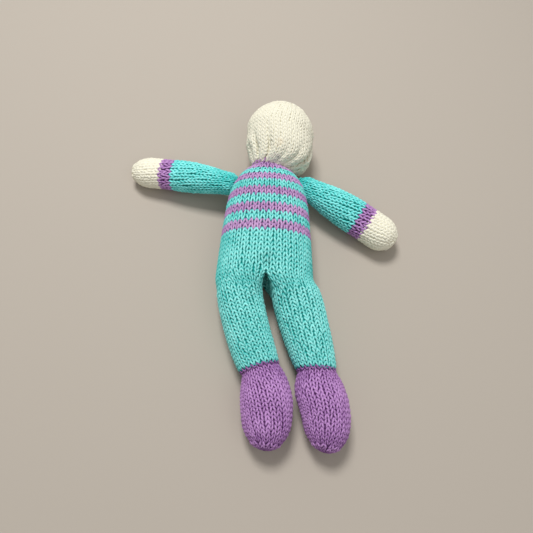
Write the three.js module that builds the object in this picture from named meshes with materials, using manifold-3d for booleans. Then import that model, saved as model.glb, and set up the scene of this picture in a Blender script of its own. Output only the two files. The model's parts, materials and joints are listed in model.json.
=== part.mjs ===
// A knitted doll lying on its back: a ball head with no features, a striped body, two arms with
// cuffs and hands, two legs and two feet. Every part is a knitted cover over its own stuffing,
// drawn up and sewn together with yarn. Millimetres, +Z up from the floor, +Y towards the crown,
// +X to the side that shows on the right when the head is at the top.
import * as THREE from 'three';
import { mergeVertices } from 'three/addons/utils/BufferGeometryUtils.js';
import Module from 'manifold-3d';

const wasm = await Module();
wasm.setup();

// Knitted fabric and yarn
const FABRIC = 2.2;             // thickness of the knitted cover
const GAP = 0.3;                // room between pieces that touch
const FLAT = 0.5;               // depth pressed flat where a stuffed piece lies on the floor
const SEAM_YARN = 1.4;          // thickness of the layer of sewing stitches at a shoulder
const ANKLE_YARN = 2;           // thickness of the ring of stitches round an ankle
const NECK_YARN = 1.9;          // thickness of the yarn drawn up round the neck
const TIP_YARN = 1.3;           // thickness of the yarn that closes a crown, hand or toe
const POCKET_DEPTH = 1.2;       // depth of the pucker where a hand or toe is closed
const TIP_RING = 2.6;           // radius of the ring that this yarn makes

// Body, measured from the line of the hips up to the collar
const BODY_LENGTH = 98.5;
const TRUNK_LENGTH = 30;        // plain part below the stripes
const STRIPE_COUNT = 9;         // the collar is the last one
const HIP_WIDTH = 80;
const HIP_DEPTH = 50;
const BELLY_HEIGHT = 36;
const BELLY_WIDTH = 75;
const BELLY_DEPTH = 53;
const CHEST_BELOW_COLLAR = 32;
const CHEST_WIDTH = 69;
const CHEST_DEPTH = 51;
const SHOULDER_BELOW_COLLAR = 15;
const SHOULDER_WIDTH = 60;
const SHOULDER_DEPTH = 42;
const SLOPE_BELOW_COLLAR = 4.5; // where the shoulders turn in to the neck
const SLOPE_WIDTH = 45;
const SLOPE_DEPTH = 33;
const COLLAR_WIDTH = 30;
const COLLAR_HEIGHT = 24.5;     // middle of the collar above the floor

// Neck and head
const NECK_RADIUS = 10.3;       // ball-shaped end of the head inside the collar
const HEAD_RADIUS = 30;
const HEAD_DISTANCE = 37.5;       // from the middle of the neck to the middle of the head
const HEAD_TILT = 13;           // leans to +X
const CHIN_REACH = 33;          // the lower half of the head is drawn out towards the neck so far
const NECK_FLARE_HEIGHT = 8.1;  // where the head spreads out from the neck
const NECK_FLARE_RADIUS = 11.8;
const CROWN_DIMPLE = 2.2;       // the drawn-up crown lies this much below the round of the head

// Arms, measured from the middle of the shoulder to the tip of the hand
const SHOULDER_PIVOT_BELOW_COLLAR = 13.7;
const SHOULDER_STANDOFF = 5.5;  // middle of the shoulder outside the side of the body
const SHOULDER_HEIGHT = 24;
const ARM_ROOT_RADIUS = 10;
const ARM_ROOT_REACH = 4;       // the arm keeps this radius so far past the middle of the shoulder
const SLEEVE_LENGTH = 50;
const CUFF_LENGTH = 11.5;
const HAND_LENGTH = 28;
const UPPER_ARM_WIDTH = 24;
const UPPER_ARM_AT = 14;
const SLEEVE_WIDTH = 29;        // at its widest
const SLEEVE_WIDEST_AT = 38;
const WRIST_WIDTH = 28.5;
const HAND_WIDTH = 29;
const HAND_ROUNDING = 19;       // the last stretch of the hand, which rounds in to the tip
const HAND_REST_FROM_TIP = 16;  // where the hand lies on the floor
const ARM_FLATNESS = 0.92;      // depth over width
const ARM_FULLNESS = { left: 0.95, right: 1.11 };   // how far the stuffing fills out each arm
const ARM_ABOVE_LEVEL = { left: 10, right: -24.5 };
const ARM_BEND = { left: 0, right: 8 };

// Legs, measured from the hip line to the middle of the ankle
const HIP_SPACING = 42.5;
const HIP_HINGE_HEIGHT = 44.5;  // the leg bends on this line, near the front of the doll
const HIP_BACK_BEND = 5;        // room for the leg to bend back, degrees
const LEG_TUCK = 10;            // how far a leg could reach past the hip line before the seam cuts it
const LEG_LENGTH = 77;
const LEG_TOP_WIDTH = 39;
const LEG_TOP_DEPTH = 46;
const THIGH_WIDTH = 39.5;
const THIGH_DEPTH = 42;
const THIGH_AT = 28;
const CALF_WIDTH = 36;
const CALF_DEPTH = 37;
const CALF_AT = 58;
const ANKLE_WIDTH = 31;
const ANKLE_HEIGHT = 17;
const LEG_LEAN_AT_HIP = { left: 6, right: 17 };
const LEG_LEAN_AT_ANKLE = { left: 26, right: 16 };
const HEM_LEAN = { left: 21, right: -1 };
const HEM_TURN_LENGTH = 30;     // the stretch of the leg that turns from its own lean to the hem's

// Feet, measured from the middle of the ankle to the toe
const FOOT_LENGTH = 60;
const FOOT_ROOT_RADIUS = 13;
const INSTEP_WIDTH = 33;
const INSTEP_DEPTH = 31;
const INSTEP_AT = 8.5;
const CREASE_REACH = 6;         // from the middle of the ankle to the crease above the instep
const FOOT_WIDTH = 40;
const FOOT_DEPTH = 37;
const FOOT_WIDEST_AT = 24;
const TOE_WIDTH = 39.5;
const TOE_DEPTH = 35;
const TOE_SWELL_AT = 39.5;
const FOOT_ROUNDING = 25;       // the last stretch of the foot, which rounds in to the toe
const FOOT_FULLNESS = { left: 1, right: 0.93 };     // how far it fills out each foot in width
const FOOT_LEAN = { left: 9, right: 22 };
const FOOT_LEAN_AT = 20;        // the foot turns from the hem's lean to its own lean up to here
const TOE_LEAN = { left: -7, right: -6 };

const SIDES = 16;               // facets round each form
const CURVE_STEPS = 60;         // straight steps along a curve
const YARN_SIDES = 5;           // facets round a ring of yarn
const BALL_SIDES = 20;          // facets round a hollow
const POINT = 0.4;              // least radius where a form closes
const ROOM = 1000;              // larger than the doll
const YARNS = {
  turquoise: { color: 0x6cc4ba, roughness: 0.95, metalness: 0 },
  brightTurquoise: { color: 0x4fc3b9, roughness: 0.95, metalness: 0 },
  lilac: { color: 0xab82c0, roughness: 0.95, metalness: 0 },
  purple: { color: 0x9a68b4, roughness: 0.95, metalness: 0 },
  cream: { color: 0xf0eadb, roughness: 0.95, metalness: 0 },
  stuffing: { color: 0xf6f5f1, roughness: 1, metalness: 0 },
};

const { degToRad, lerp, clamp, smoothstep } = THREE.MathUtils;

// Solids: from a three.js geometry to a manifold and back
function solid(geometry) {
  const bare = geometry.clone();
  bare.deleteAttribute('normal');
  bare.deleteAttribute('uv');
  const merged = mergeVertices(bare, 1e-5);
  return new wasm.Manifold(new wasm.Mesh({
    numProp: 3,
    vertProperties: new Float32Array(merged.attributes.position.array),
    triVerts: new Uint32Array(merged.index.array),
  }));
}

function piece(name, manifold, yarn) {
  const mesh = manifold.getMesh();
  const geometry = new THREE.BufferGeometry();
  geometry.setAttribute('position', new THREE.BufferAttribute(mesh.vertProperties, 3));
  geometry.setIndex(new THREE.BufferAttribute(mesh.triVerts, 1));
  geometry.computeVertexNormals();
  const made = new THREE.Mesh(geometry, new THREE.MeshStandardMaterial(YARNS[yarn]));
  made.name = name;
  return made;
}

// A smooth size along a length, through rows of [distance, value, value, ...]
function sizesAlong(rows) {
  const distances = rows.map((row) => row[0]);
  const values = rows.flatMap((row) => row.slice(1));
  const curve = new THREE.CubicInterpolant(distances, values, rows[0].length - 1);
  return (distance) => Array.from(curve.evaluate(distance));
}

// A spine in the XY plane through rows of [distance, heading in degrees]: it turns steadily from
// one row to the next, and the rings of a form round it face along its heading
function spineThrough(rows) {
  const headings = rows.map((row) => degToRad(row[1]));
  const turn = new THREE.LinearInterpolant(rows.map((row) => row[0]), headings, 1);
  return (distance) => {
    const step = distance / CURVE_STEPS;
    let x = 0;
    let y = 0;
    for (let i = 0; i < CURVE_STEPS; i++) {
      const [heading] = turn.evaluate((i + 0.5) * step);
      x -= Math.sin(heading) * step;
      y += Math.cos(heading) * step;
    }
    return { x, y, heading: turn.evaluate(distance)[0] };
  };
}

// The same spine with its rings turned away from its own heading by degrees at each distance
function turnedRings(spine, turnAt) {
  return (distance) => {
    const { x, y, heading } = spine(distance);
    return { x, y, heading: heading + degToRad(turnAt(distance)) };
  };
}

// Distances of the rings of a form, evenly spaced or closer together towards its ends
function evenRings(from, to, steps) {
  return Array.from({ length: steps + 1 }, (_, i) => lerp(from, to, i / steps));
}

function roundRings(from, to, steps) {
  return evenRings(0, Math.PI, steps).map((angle) => lerp(from, to, (1 - Math.cos(angle)) / 2));
}

// A stuffed form: a closed rod whose rings follow a spine and swell to the half width a and the
// half depth b at each distance; inset makes the same form smaller all round
function stuffedForm(rings, spine, section, inset = 0) {
  const rod = new THREE.CylinderGeometry(1, 1, 1, SIDES, rings.length - 1);
  const point = rod.attributes.position;
  for (let i = 0; i < point.count; i++) {
    const distance = rings[Math.round((point.getY(i) + 0.5) * (rings.length - 1))];
    const { x, y, heading } = spine(distance);
    const { a, b, height } = section(distance);
    const across = point.getX(i) * Math.max(a - inset, POINT);
    const up = point.getZ(i) * Math.max(b - inset, POINT);
    point.setXYZ(i, x + across * Math.cos(heading), y + across * Math.sin(heading), height + up);
  }
  return solid(rod);
}

// The rings of what lies inside a form: past its open ends, and short of its closed ends by inset
function innerRings(rings, inset, { openStart, openEnd }) {
  const first = openStart ? rings[0] - inset : rings[0] + inset;
  const last = openEnd ? rings.at(-1) + inset : rings.at(-1) - inset;
  return [first, ...rings.filter((ring) => ring > first && ring < last), last];
}

// A knitted cover: the form with its inside taken out, open at the ends that are named
function knittedCover(rings, spine, section, open) {
  const inside = innerRings(rings, FABRIC, open);
  return stuffedForm(rings, spine, section)
    .subtract(stuffedForm(inside, spine, section, FABRIC));
}

// The filling of a closed form, with room for its cover
function stuffing(rings, spine, section) {
  const inset = FABRIC + GAP;
  return stuffedForm(innerRings(rings, inset, {}), spine, section, inset);
}

// How much a rounded end draws in: 1 where the rounding starts, endRadius / radius at the end
function roundedEnd(distance, end, reach, radius, endRadius) {
  const share = clamp((distance - end + reach) / reach, 0, 1);
  return Math.sqrt(1 - share * share * (1 - (endRadius / radius) ** 2));
}

// A ball that is cut out of a form, with its facets outside the true radius
function ball(radius, x, y, z) {
  const outside = radius / Math.cos(Math.PI / BALL_SIDES) ** 2;
  const geometry = new THREE.SphereGeometry(outside, BALL_SIDES, BALL_SIDES / 2);
  return solid(geometry.translate(x, y, z));
}

// A ring of yarn round the +Y axis, with its middle at the height y
function yarnRing(radius, thickness, y) {
  const ring = new THREE.TorusGeometry(radius, thickness / 2, YARN_SIDES, SIDES);
  return solid(ring.rotateX(Math.PI / 2).translate(0, y, 0));
}

// The closing yarn lies in a pocket in the tip of a form, at a point on its spine
function tipPocket({ x, y, heading }, height = 0) {
  const radius = TIP_RING + TIP_YARN / 2 + GAP;
  const pocket = new THREE.CylinderGeometry(radius, radius, 2 * POCKET_DEPTH, SIDES);
  return solid(pocket.rotateZ(heading).translate(x, y, height));
}

// A form turned on the +Y axis from a list of [radius, y]
function turned(profile) {
  const points = profile.map(([radius, y]) => new THREE.Vector2(radius, y));
  return solid(new THREE.LatheGeometry(points, SIDES));
}

// Everything under the floor, in the frame of the group that holds the piece
function underFloor(group) {
  const block = new THREE.BoxGeometry(ROOM, ROOM, ROOM).translate(0, 0, -ROOM / 2);
  group.updateWorldMatrix(true, false);
  return solid(block.applyMatrix4(group.matrixWorld.clone().invert()));
}

// Body: nine rings of coloured knitting and a plain trunk round one filling
const NECK = new THREE.Vector3(0, BODY_LENGTH, COLLAR_HEIGHT);
const bodySizes = sizesAlong([
  [0, HIP_WIDTH / 2, HIP_DEPTH / 2, HIP_DEPTH / 2 - FLAT],
  [BELLY_HEIGHT, BELLY_WIDTH / 2, BELLY_DEPTH / 2, BELLY_DEPTH / 2 - FLAT],
  [BODY_LENGTH - CHEST_BELOW_COLLAR, CHEST_WIDTH / 2, CHEST_DEPTH / 2, CHEST_DEPTH / 2 - FLAT],
  [BODY_LENGTH - SHOULDER_BELOW_COLLAR, SHOULDER_WIDTH / 2, SHOULDER_DEPTH / 2, SHOULDER_HEIGHT],
  [BODY_LENGTH - SLOPE_BELOW_COLLAR, SLOPE_WIDTH / 2, SLOPE_DEPTH / 2,
    (SHOULDER_HEIGHT + COLLAR_HEIGHT) / 2],
  [BODY_LENGTH, COLLAR_WIDTH / 2, COLLAR_WIDTH / 2, COLLAR_HEIGHT],
]);
const bodySpine = (distance) => ({ x: 0, y: distance, heading: 0 });
const bodySection = (distance) => {
  const [a, b, height] = bodySizes(distance);
  return { a, b, height };
};

// The edges of the stripes are equally far apart along the front of the body
const stripedFront = evenRings(TRUNK_LENGTH, BODY_LENGTH, CURVE_STEPS).map((distance) => {
  const { b, height } = bodySection(distance);
  return new THREE.Vector2(distance, height + b);
});
const stripeEdges = new THREE.SplineCurve(stripedFront).getSpacedPoints(STRIPE_COUNT)
  .map((edge) => edge.x);

const shoulderAt = BODY_LENGTH - SHOULDER_PIVOT_BELOW_COLLAR;
const shoulderOut = bodySection(shoulderAt).a + SHOULDER_STANDOFF;
const shoulderHollow = ARM_ROOT_RADIUS + GAP + SEAM_YARN + GAP;

// The arms press a hollow into each side of the body
function pressedBy(radius) {
  return ball(radius, -shoulderOut, shoulderAt, SHOULDER_HEIGHT)
    .add(ball(radius, shoulderOut, shoulderAt, SHOULDER_HEIGHT));
}

// A band of the body: its outside without the hollows of the arms, less its inside, which keeps
// clear of the same hollows by the thickness of the fabric
function bodyBand(rings, openStart) {
  const open = { openStart, openEnd: true };
  const inside = stuffedForm(innerRings(rings, FABRIC, open), bodySpine, bodySection, FABRIC)
    .subtract(pressedBy(shoulderHollow + FABRIC));
  return stuffedForm(rings, bodySpine, bodySection)
    .subtract(pressedBy(shoulderHollow))
    .subtract(inside);
}

// The top of a leg that is folded forwards lies where this corner of the trunk is left away
function lipAbove(inset) {
  const room = LEG_TOP_DEPTH - FLAT - HIP_HINGE_HEIGHT + 2 * GAP + inset;
  const block = new THREE.BoxGeometry(ROOM, ROOM, ROOM);
  return solid(block.translate(0, room - ROOM / 2, HIP_HINGE_HEIGHT - GAP - inset + ROOM / 2));
}

function makeBody() {
  const body = new THREE.Group();
  const floor = underFloor(body);
  const allRings = evenRings(GAP, TRUNK_LENGTH - GAP / 2, 3);
  const trunk = bodyBand(allRings, false).subtract(lipAbove(0)).subtract(floor);
  body.add(piece('trunk_cover', trunk, 'turquoise'));
  for (let i = 0; i < STRIPE_COUNT; i++) {
    const rings = [stripeEdges[i] + GAP / 2, stripeEdges[i + 1] - GAP / 2];
    const yarn = i % 2 === 0 ? 'lilac' : 'turquoise';
    const name = i === STRIPE_COUNT - 1 ? 'collar' : `stripe_${i + 1}_${yarn}`;
    body.add(piece(name, bodyBand(rings, true).subtract(floor), yarn));
    allRings.push(...rings);
  }
  const inset = FABRIC + GAP;
  const fillingRings = [GAP + inset, ...allRings.slice(1, -1)];
  const filling = stuffedForm(fillingRings, bodySpine, bodySection, inset)
    .subtract(pressedBy(shoulderHollow + inset))
    .subtract(ball(NECK_RADIUS + GAP, NECK.x, NECK.y, NECK.z))
    .subtract(lipAbove(inset));
  body.add(piece('body_stuffing', filling, 'stuffing'));
  return body;
}

// Head: a ball whose lower end is gathered into the collar, on the +Y axis from the neck
function headProfile(inset) {
  const neck = NECK_RADIUS - inset;
  const round = HEAD_RADIUS - inset;
  const neckArc = [0, 30, 60, 90, 117].map(degToRad)
    .map((angle) => [neck * Math.sin(angle), -neck * Math.cos(angle)]);
  const headArc = [42, 58, 74, 90, 106, 122, 138, 150, 160].map(degToRad).map((angle) => {
    const reach = angle < Math.PI / 2 ? CHIN_REACH - inset : round;
    return [round * Math.sin(angle), HEAD_DISTANCE - reach * Math.cos(angle)];
  });
  const crown = HEAD_DISTANCE + round - CROWN_DIMPLE;
  return [
    ...neckArc,
    [NECK_FLARE_RADIUS - inset, NECK_FLARE_HEIGHT],
    ...headArc,
    [TIP_RING + TIP_YARN, crown],
    [0, crown],
  ];
}

function makeHead() {
  const head = new THREE.Group();
  const lift = Math.asin((HEAD_RADIUS - FLAT - COLLAR_HEIGHT) / HEAD_DISTANCE);
  head.position.copy(NECK);
  head.rotation.set(lift, 0, -degToRad(HEAD_TILT), 'ZXY');
  const opening = new THREE.CylinderGeometry(NECK_RADIUS / 2, NECK_RADIUS / 2, NECK_RADIUS, SIDES)
    .translate(0, -NECK_RADIUS, 0);
  const cover = turned(headProfile(0))
    .subtract(turned(headProfile(FABRIC)))
    .subtract(solid(opening))
    .subtract(underFloor(head));
  const crownAt = HEAD_DISTANCE + HEAD_RADIUS - CROWN_DIMPLE;
  head.add(piece('head_cover', cover, 'cream'));
  head.add(piece('head_stuffing', turned(headProfile(FABRIC + GAP)), 'stuffing'));
  head.add(piece('crown_yarn', yarnRing(TIP_RING, TIP_YARN, crownAt + GAP + TIP_YARN / 2), 'cream'));
  return head;
}

// The yarn that draws the neck in lies inside the mouth of the collar
function makeNeckYarn() {
  const neck = new THREE.Group();
  neck.position.copy(NECK);
  const radius = NECK_RADIUS + GAP + NECK_YARN / 2;
  neck.add(piece('neck_yarn', yarnRing(radius, NECK_YARN, -NECK_YARN / 2 - GAP), 'lilac'));
  return neck;
}

// Arms: a sleeve that starts as a ball in the hollow of the shoulder, a cuff and a hand
const ARM_LENGTH = SLEEVE_LENGTH + CUFF_LENGTH + HAND_LENGTH;
const tipYarnAt = GAP + TIP_YARN / 2 - POCKET_DEPTH;
const armEnd = ARM_LENGTH - tipYarnAt - TIP_YARN / 2;
const armSizes = sizesAlong([
  [0, ARM_ROOT_RADIUS],
  [ARM_ROOT_REACH, ARM_ROOT_RADIUS],
  [UPPER_ARM_AT, UPPER_ARM_WIDTH / 2],
  [SLEEVE_WIDEST_AT, SLEEVE_WIDTH / 2],
  [SLEEVE_LENGTH + CUFF_LENGTH, WRIST_WIDTH / 2],
  [ARM_LENGTH, HAND_WIDTH / 2],
]);

function armSection(distance, fullness) {
  if (distance < 0) {
    const a = Math.sqrt(Math.max(ARM_ROOT_RADIUS ** 2 - distance ** 2, 0));
    return { a, b: a, height: 0 };
  }
  const alongSleeve = clamp(distance / SLEEVE_LENGTH, 0, 1);
  const a = armSizes(distance)[0] * lerp(1, fullness, alongSleeve);
  const tip = TIP_RING + TIP_YARN;
  const drawn = a * roundedEnd(distance, armEnd, HAND_ROUNDING, a, tip);
  return { a: drawn, b: drawn * lerp(1, ARM_FLATNESS, alongSleeve), height: 0 };
}

function makeArm(side) {
  const out = side === 'left' ? -1 : 1;
  const arm = new THREE.Group();
  const fullness = ARM_FULLNESS[side];
  const handDrop = SHOULDER_HEIGHT - (HAND_WIDTH / 2) * fullness * ARM_FLATNESS + FLAT;
  const droop = Math.asin(handDrop / (ARM_LENGTH - HAND_REST_FROM_TIP));
  const level = degToRad(out < 0 ? 90 - ARM_ABOVE_LEVEL.left : ARM_ABOVE_LEVEL.right - 90);
  arm.position.set(out * shoulderOut, shoulderAt, SHOULDER_HEIGHT);
  arm.rotation.set(-droop, 0, level, 'ZXY');
  const shape = [
    spineThrough([[0, 0], [ARM_LENGTH, -out * ARM_BEND[side]]]),
    (distance) => armSection(distance, fullness),
  ];
  const cuffAt = SLEEVE_LENGTH + GAP;
  const handAt = SLEEVE_LENGTH + CUFF_LENGTH + GAP;
  const floor = underFloor(arm);
  const sleeveRings = [
    ...roundRings(-ARM_ROOT_RADIUS, ARM_ROOT_RADIUS, 6),
    ...evenRings(ARM_ROOT_RADIUS, SLEEVE_LENGTH, 3).slice(1),
  ];
  const cuffRings = evenRings(cuffAt, handAt - GAP, 1);
  const handRings = [handAt, ...roundRings(2 * handAt - armEnd, armEnd, 10).slice(6)];
  const sleeve = knittedCover(sleeveRings, ...shape, { openEnd: true });
  const cuff = knittedCover(cuffRings, ...shape, { openStart: true, openEnd: true });
  const tip = shape[0](armEnd);
  const hand = knittedCover(handRings, ...shape, { openStart: true }).subtract(tipPocket(tip));
  const filling = stuffing([...sleeveRings, ...cuffRings, ...handRings], ...shape);
  arm.add(piece(`${side}_sleeve`, sleeve.subtract(floor), 'brightTurquoise'));
  arm.add(piece(`${side}_cuff`, cuff.subtract(floor), 'purple'));
  arm.add(piece(`${side}_hand`, hand.subtract(floor), 'cream'));
  arm.add(piece(`${side}_arm_stuffing`, filling, 'stuffing'));
  const tipYarn = yarnRing(TIP_RING, TIP_YARN, 0);
  arm.add(placed(piece(`${side}_hand_yarn`, tipYarn, 'cream'), tip, tipYarnAt));
  return arm;
}

// A ring of yarn past the end of a form, square to its spine
function placed(mesh, { x, y, heading }, beyond, height = 0) {
  mesh.position.set(x - Math.sin(heading) * beyond, y + Math.cos(heading) * beyond, height);
  mesh.rotation.z = heading;
  return mesh;
}

// The stitches that hold an arm lie between its end and the hollow, as a layer round the middle
// of the shoulder; the axis of the layer points at the body
function makeShoulderSeam(side) {
  const out = side === 'left' ? -1 : 1;
  const seam = new THREE.Group();
  seam.position.set(out * shoulderOut, shoulderAt, SHOULDER_HEIGHT);
  seam.rotation.z = degToRad(out * 90);
  const inner = ARM_ROOT_RADIUS + GAP;
  const angles = [10, 15, 20, 25, 30].map(degToRad);
  const layer = (radius) => angles.map((angle) => [radius * Math.sin(angle), radius * Math.cos(angle)]);
  const profile = [...layer(inner + SEAM_YARN), ...layer(inner).reverse()];
  seam.add(piece(`${side}_shoulder_seam`, turned([...profile, profile[0]].reverse()), 'brightTurquoise'));
  return seam;
}

// Legs: straight or bowed tubes that start at the hip line and end in a hem round the foot
const legSizes = sizesAlong([
  [0, LEG_TOP_WIDTH / 2, LEG_TOP_DEPTH / 2, LEG_TOP_DEPTH / 2 - FLAT],
  [THIGH_AT, THIGH_WIDTH / 2, THIGH_DEPTH / 2, THIGH_DEPTH / 2 - FLAT],
  [CALF_AT, CALF_WIDTH / 2, CALF_DEPTH / 2, CALF_DEPTH / 2 - FLAT],
  [LEG_LENGTH, ANKLE_WIDTH / 2, ANKLE_WIDTH / 2, ANKLE_HEIGHT],
]);
const legSection = (distance) => {
  const [a, b, height] = legSizes(distance);
  return { a, b, height };
};

const footEnd = FOOT_LENGTH - tipYarnAt - TIP_YARN / 2;
const footSizes = sizesAlong([
  [0, FOOT_ROOT_RADIUS, FOOT_ROOT_RADIUS, 0],
  [CREASE_REACH, FOOT_ROOT_RADIUS, FOOT_ROOT_RADIUS, 0],
  [INSTEP_AT, INSTEP_WIDTH / 2, INSTEP_DEPTH / 2, 0],
  [FOOT_WIDEST_AT, FOOT_WIDTH / 2, FOOT_DEPTH / 2, FOOT_DEPTH / 2 - FLAT - ANKLE_HEIGHT],
  [TOE_SWELL_AT, TOE_WIDTH / 2, TOE_DEPTH / 2, TOE_DEPTH / 2 - FLAT - ANKLE_HEIGHT],
]);

function footSection(distance, fullness) {
  if (distance < 0) {
    const a = Math.sqrt(Math.max(FOOT_ROOT_RADIUS ** 2 - distance ** 2, 0));
    return { a, b: a, height: 0 };
  }
  const [round, b, height] = footSizes(distance);
  const a = round * lerp(1, fullness, clamp(distance / INSTEP_AT, 0, 1));
  const tip = TIP_RING + TIP_YARN;
  const drawn = roundedEnd(distance, footEnd, FOOT_ROUNDING, a, tip);
  return { a: a * drawn, b: b * drawn, height };
}

function makeLeg(side) {
  const out = side === 'left' ? -1 : 1;
  const leg = new THREE.Group();
  leg.position.set(out * HIP_SPACING / 2, 0, 0);
  leg.rotation.z = Math.PI;
  const spine = turnedRings(
    spineThrough([[0, LEG_LEAN_AT_HIP[side]], [LEG_LENGTH, LEG_LEAN_AT_ANKLE[side]]]),
    (distance) => (HEM_LEAN[side] - LEG_LEAN_AT_ANKLE[side])
      * smoothstep(distance, LEG_LENGTH - HEM_TURN_LENGTH, LEG_LENGTH),
  );
  const shape = [spine, legSection];
  const hemAt = LEG_LENGTH - ANKLE_YARN - GAP;
  const trunkSide = new THREE.BoxGeometry(ROOM, ROOM, ROOM)
    .translate(0, -ROOM / 2, 0)
    .rotateX(degToRad(HIP_BACK_BEND))
    .translate(0, 0, HIP_HINGE_HEIGHT);
  const open = { openStart: true, openEnd: true };
  const rings = evenRings(-LEG_TUCK, hemAt, 6);
  const cover = knittedCover(rings, ...shape, open)
    .subtract(solid(trunkSide))
    .subtract(underFloor(leg));
  const ankle = spine(LEG_LENGTH);
  const footRoom = ball(FOOT_ROOT_RADIUS + GAP, ankle.x, ankle.y, ANKLE_HEIGHT);
  const fillingEnd = LEG_LENGTH - FOOT_ROOT_RADIUS / 2;
  const filling = stuffedForm(rings.filter((ring) => ring < fillingEnd), ...shape, FABRIC + GAP)
    .subtract(solid(trunkSide))
    .subtract(footRoom);
  leg.add(piece(`${side}_leg_cover`, cover, 'turquoise'));
  leg.add(piece(`${side}_leg_stuffing`, filling, 'stuffing'));
  const seamRadius = FOOT_ROOT_RADIUS + GAP + ANKLE_YARN / 2;
  const seam = piece(`${side}_ankle_seam`, yarnRing(seamRadius, ANKLE_YARN, 0), 'purple');
  leg.add(placed(seam, ankle, -ANKLE_YARN / 2, ANKLE_HEIGHT));
  leg.add(makeFoot(side, ankle, leg));
  return leg;
}

function makeFoot(side, ankle, leg) {
  const foot = new THREE.Group();
  leg.add(foot);
  foot.position.set(ankle.x, ankle.y, ANKLE_HEIGHT);
  foot.rotation.z = degToRad(HEM_LEAN[side]);
  const spine = spineThrough([
    [CREASE_REACH, 0],
    [FOOT_LEAN_AT, FOOT_LEAN[side] - HEM_LEAN[side]],
    [FOOT_LENGTH, TOE_LEAN[side] - HEM_LEAN[side]],
  ]);
  const shape = [spine, (distance) => footSection(distance, FOOT_FULLNESS[side])];
  const opening = new THREE.CylinderGeometry(
    FOOT_ROOT_RADIUS / 2, FOOT_ROOT_RADIUS / 2, FOOT_ROOT_RADIUS, SIDES,
  ).translate(0, -FOOT_ROOT_RADIUS, 0);
  const rings = [
    ...roundRings(-FOOT_ROOT_RADIUS, FOOT_ROOT_RADIUS * 0.9, 6),
    ...roundRings(0, footEnd, 11).slice(4),
  ];
  const toe = shape[0](footEnd);
  const toeHeight = shape[1](footEnd).height;
  const cover = knittedCover(rings, ...shape, {})
    .subtract(solid(opening))
    .subtract(tipPocket(toe, toeHeight))
    .subtract(underFloor(foot));
  const filling = stuffing(rings, ...shape);
  foot.add(piece(`${side}_foot_cover`, cover, 'purple'));
  foot.add(piece(`${side}_foot_stuffing`, filling, 'stuffing'));
  const toeYarn = piece(`${side}_toe_yarn`, yarnRing(TIP_RING, TIP_YARN, 0), 'purple');
  foot.add(placed(toeYarn, toe, tipYarnAt, toeHeight));
  return foot;
}

const doll = new THREE.Group();
doll.add(makeBody(), makeNeckYarn(), makeHead());
for (const side of ['left', 'right']) {
  doll.add(makeShoulderSeam(side), makeArm(side), makeLeg(side));
}

// The origin is under the middle of the whole doll
const middle = new THREE.Box3().setFromObject(doll, true).getCenter(new THREE.Vector3());
doll.position.set(-middle.x, -middle.y, 0);
export default doll;
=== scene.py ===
# %% [markdown]
# # A knitted doll
# The doll is hand-knitted in double knitting wool: a ball head, a striped body, arms with cuffs
# and hands, legs, and feet that are sewn on. Its skin isn't a smooth surface with a picture of
# stitches. It is one yarn after another, looped through the loops of the row below. This lesson
# lays those loops on soft, stuffed shapes, so that the light falls between them as on wool.

# %% The frame
import json
import math

import bmesh
import bpy
import numpy as np
from mathutils import Matrix

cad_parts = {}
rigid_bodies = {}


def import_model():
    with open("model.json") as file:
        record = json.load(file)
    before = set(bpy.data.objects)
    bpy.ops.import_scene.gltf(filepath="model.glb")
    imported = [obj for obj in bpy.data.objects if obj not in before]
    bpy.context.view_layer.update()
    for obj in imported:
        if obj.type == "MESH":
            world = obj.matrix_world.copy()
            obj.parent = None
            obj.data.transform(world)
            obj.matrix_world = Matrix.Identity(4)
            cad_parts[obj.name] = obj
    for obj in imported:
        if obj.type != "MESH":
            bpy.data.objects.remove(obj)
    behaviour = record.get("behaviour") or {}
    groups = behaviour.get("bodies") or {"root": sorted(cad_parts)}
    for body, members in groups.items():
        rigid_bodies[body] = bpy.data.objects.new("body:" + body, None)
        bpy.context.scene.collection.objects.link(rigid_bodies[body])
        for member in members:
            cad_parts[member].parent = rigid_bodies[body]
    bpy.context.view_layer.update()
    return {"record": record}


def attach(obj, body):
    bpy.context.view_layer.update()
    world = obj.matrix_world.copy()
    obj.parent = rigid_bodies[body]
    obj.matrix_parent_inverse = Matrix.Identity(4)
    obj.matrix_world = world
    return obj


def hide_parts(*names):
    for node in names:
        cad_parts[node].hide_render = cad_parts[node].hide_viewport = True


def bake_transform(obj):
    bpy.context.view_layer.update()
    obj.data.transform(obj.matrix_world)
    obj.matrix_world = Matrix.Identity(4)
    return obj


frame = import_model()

scene = bpy.context.scene
JOINTS = {joint["name"]: joint for joint in frame["record"]["behaviour"]["joints"]}
BOTH = ("left", "right")


def joint_mm(name):
    """A joint's place in the frame, in millimetres."""
    return np.array(JOINTS[name]["pos_m"]) * 1000


hips = (joint_mm("left_hip_lift") + joint_mm("right_hip_lift")) / 2
ORIGIN = np.array([hips[0], hips[1], 0.0])
NECK = joint_mm("neck_turn") - ORIGIN
SHOULDERS = {side: joint_mm(f"{side}_shoulder_swing") - ORIGIN for side in BOTH}
ANKLES = {side: joint_mm(f"{side}_ankle_flex") - ORIGIN for side in BOTH}
print("doll's own origin, under the middle of the hips:", ORIGIN.round(2), "neck:", NECK.round(2))

# %% [markdown]
# ## The camera
# The photograph was taken from above the feet, looking steeply down. The camera stands where it
# makes the doll's outline and the lines of the floor agree with the photograph, and a second
# turn about its own axis gives the slight lean of the picture.

# %% The camera
CAMERA_MM = np.array([-16.49, -147.19, 402.82])
HEADING = math.radians(6.5)
PITCH_DOWN = math.radians(67.54)
ROLL = math.radians(9.24)
FOCAL_PIXELS = 500.0
PICTURE_PIXELS = 533.0
SENSOR_MM = 36.0


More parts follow.
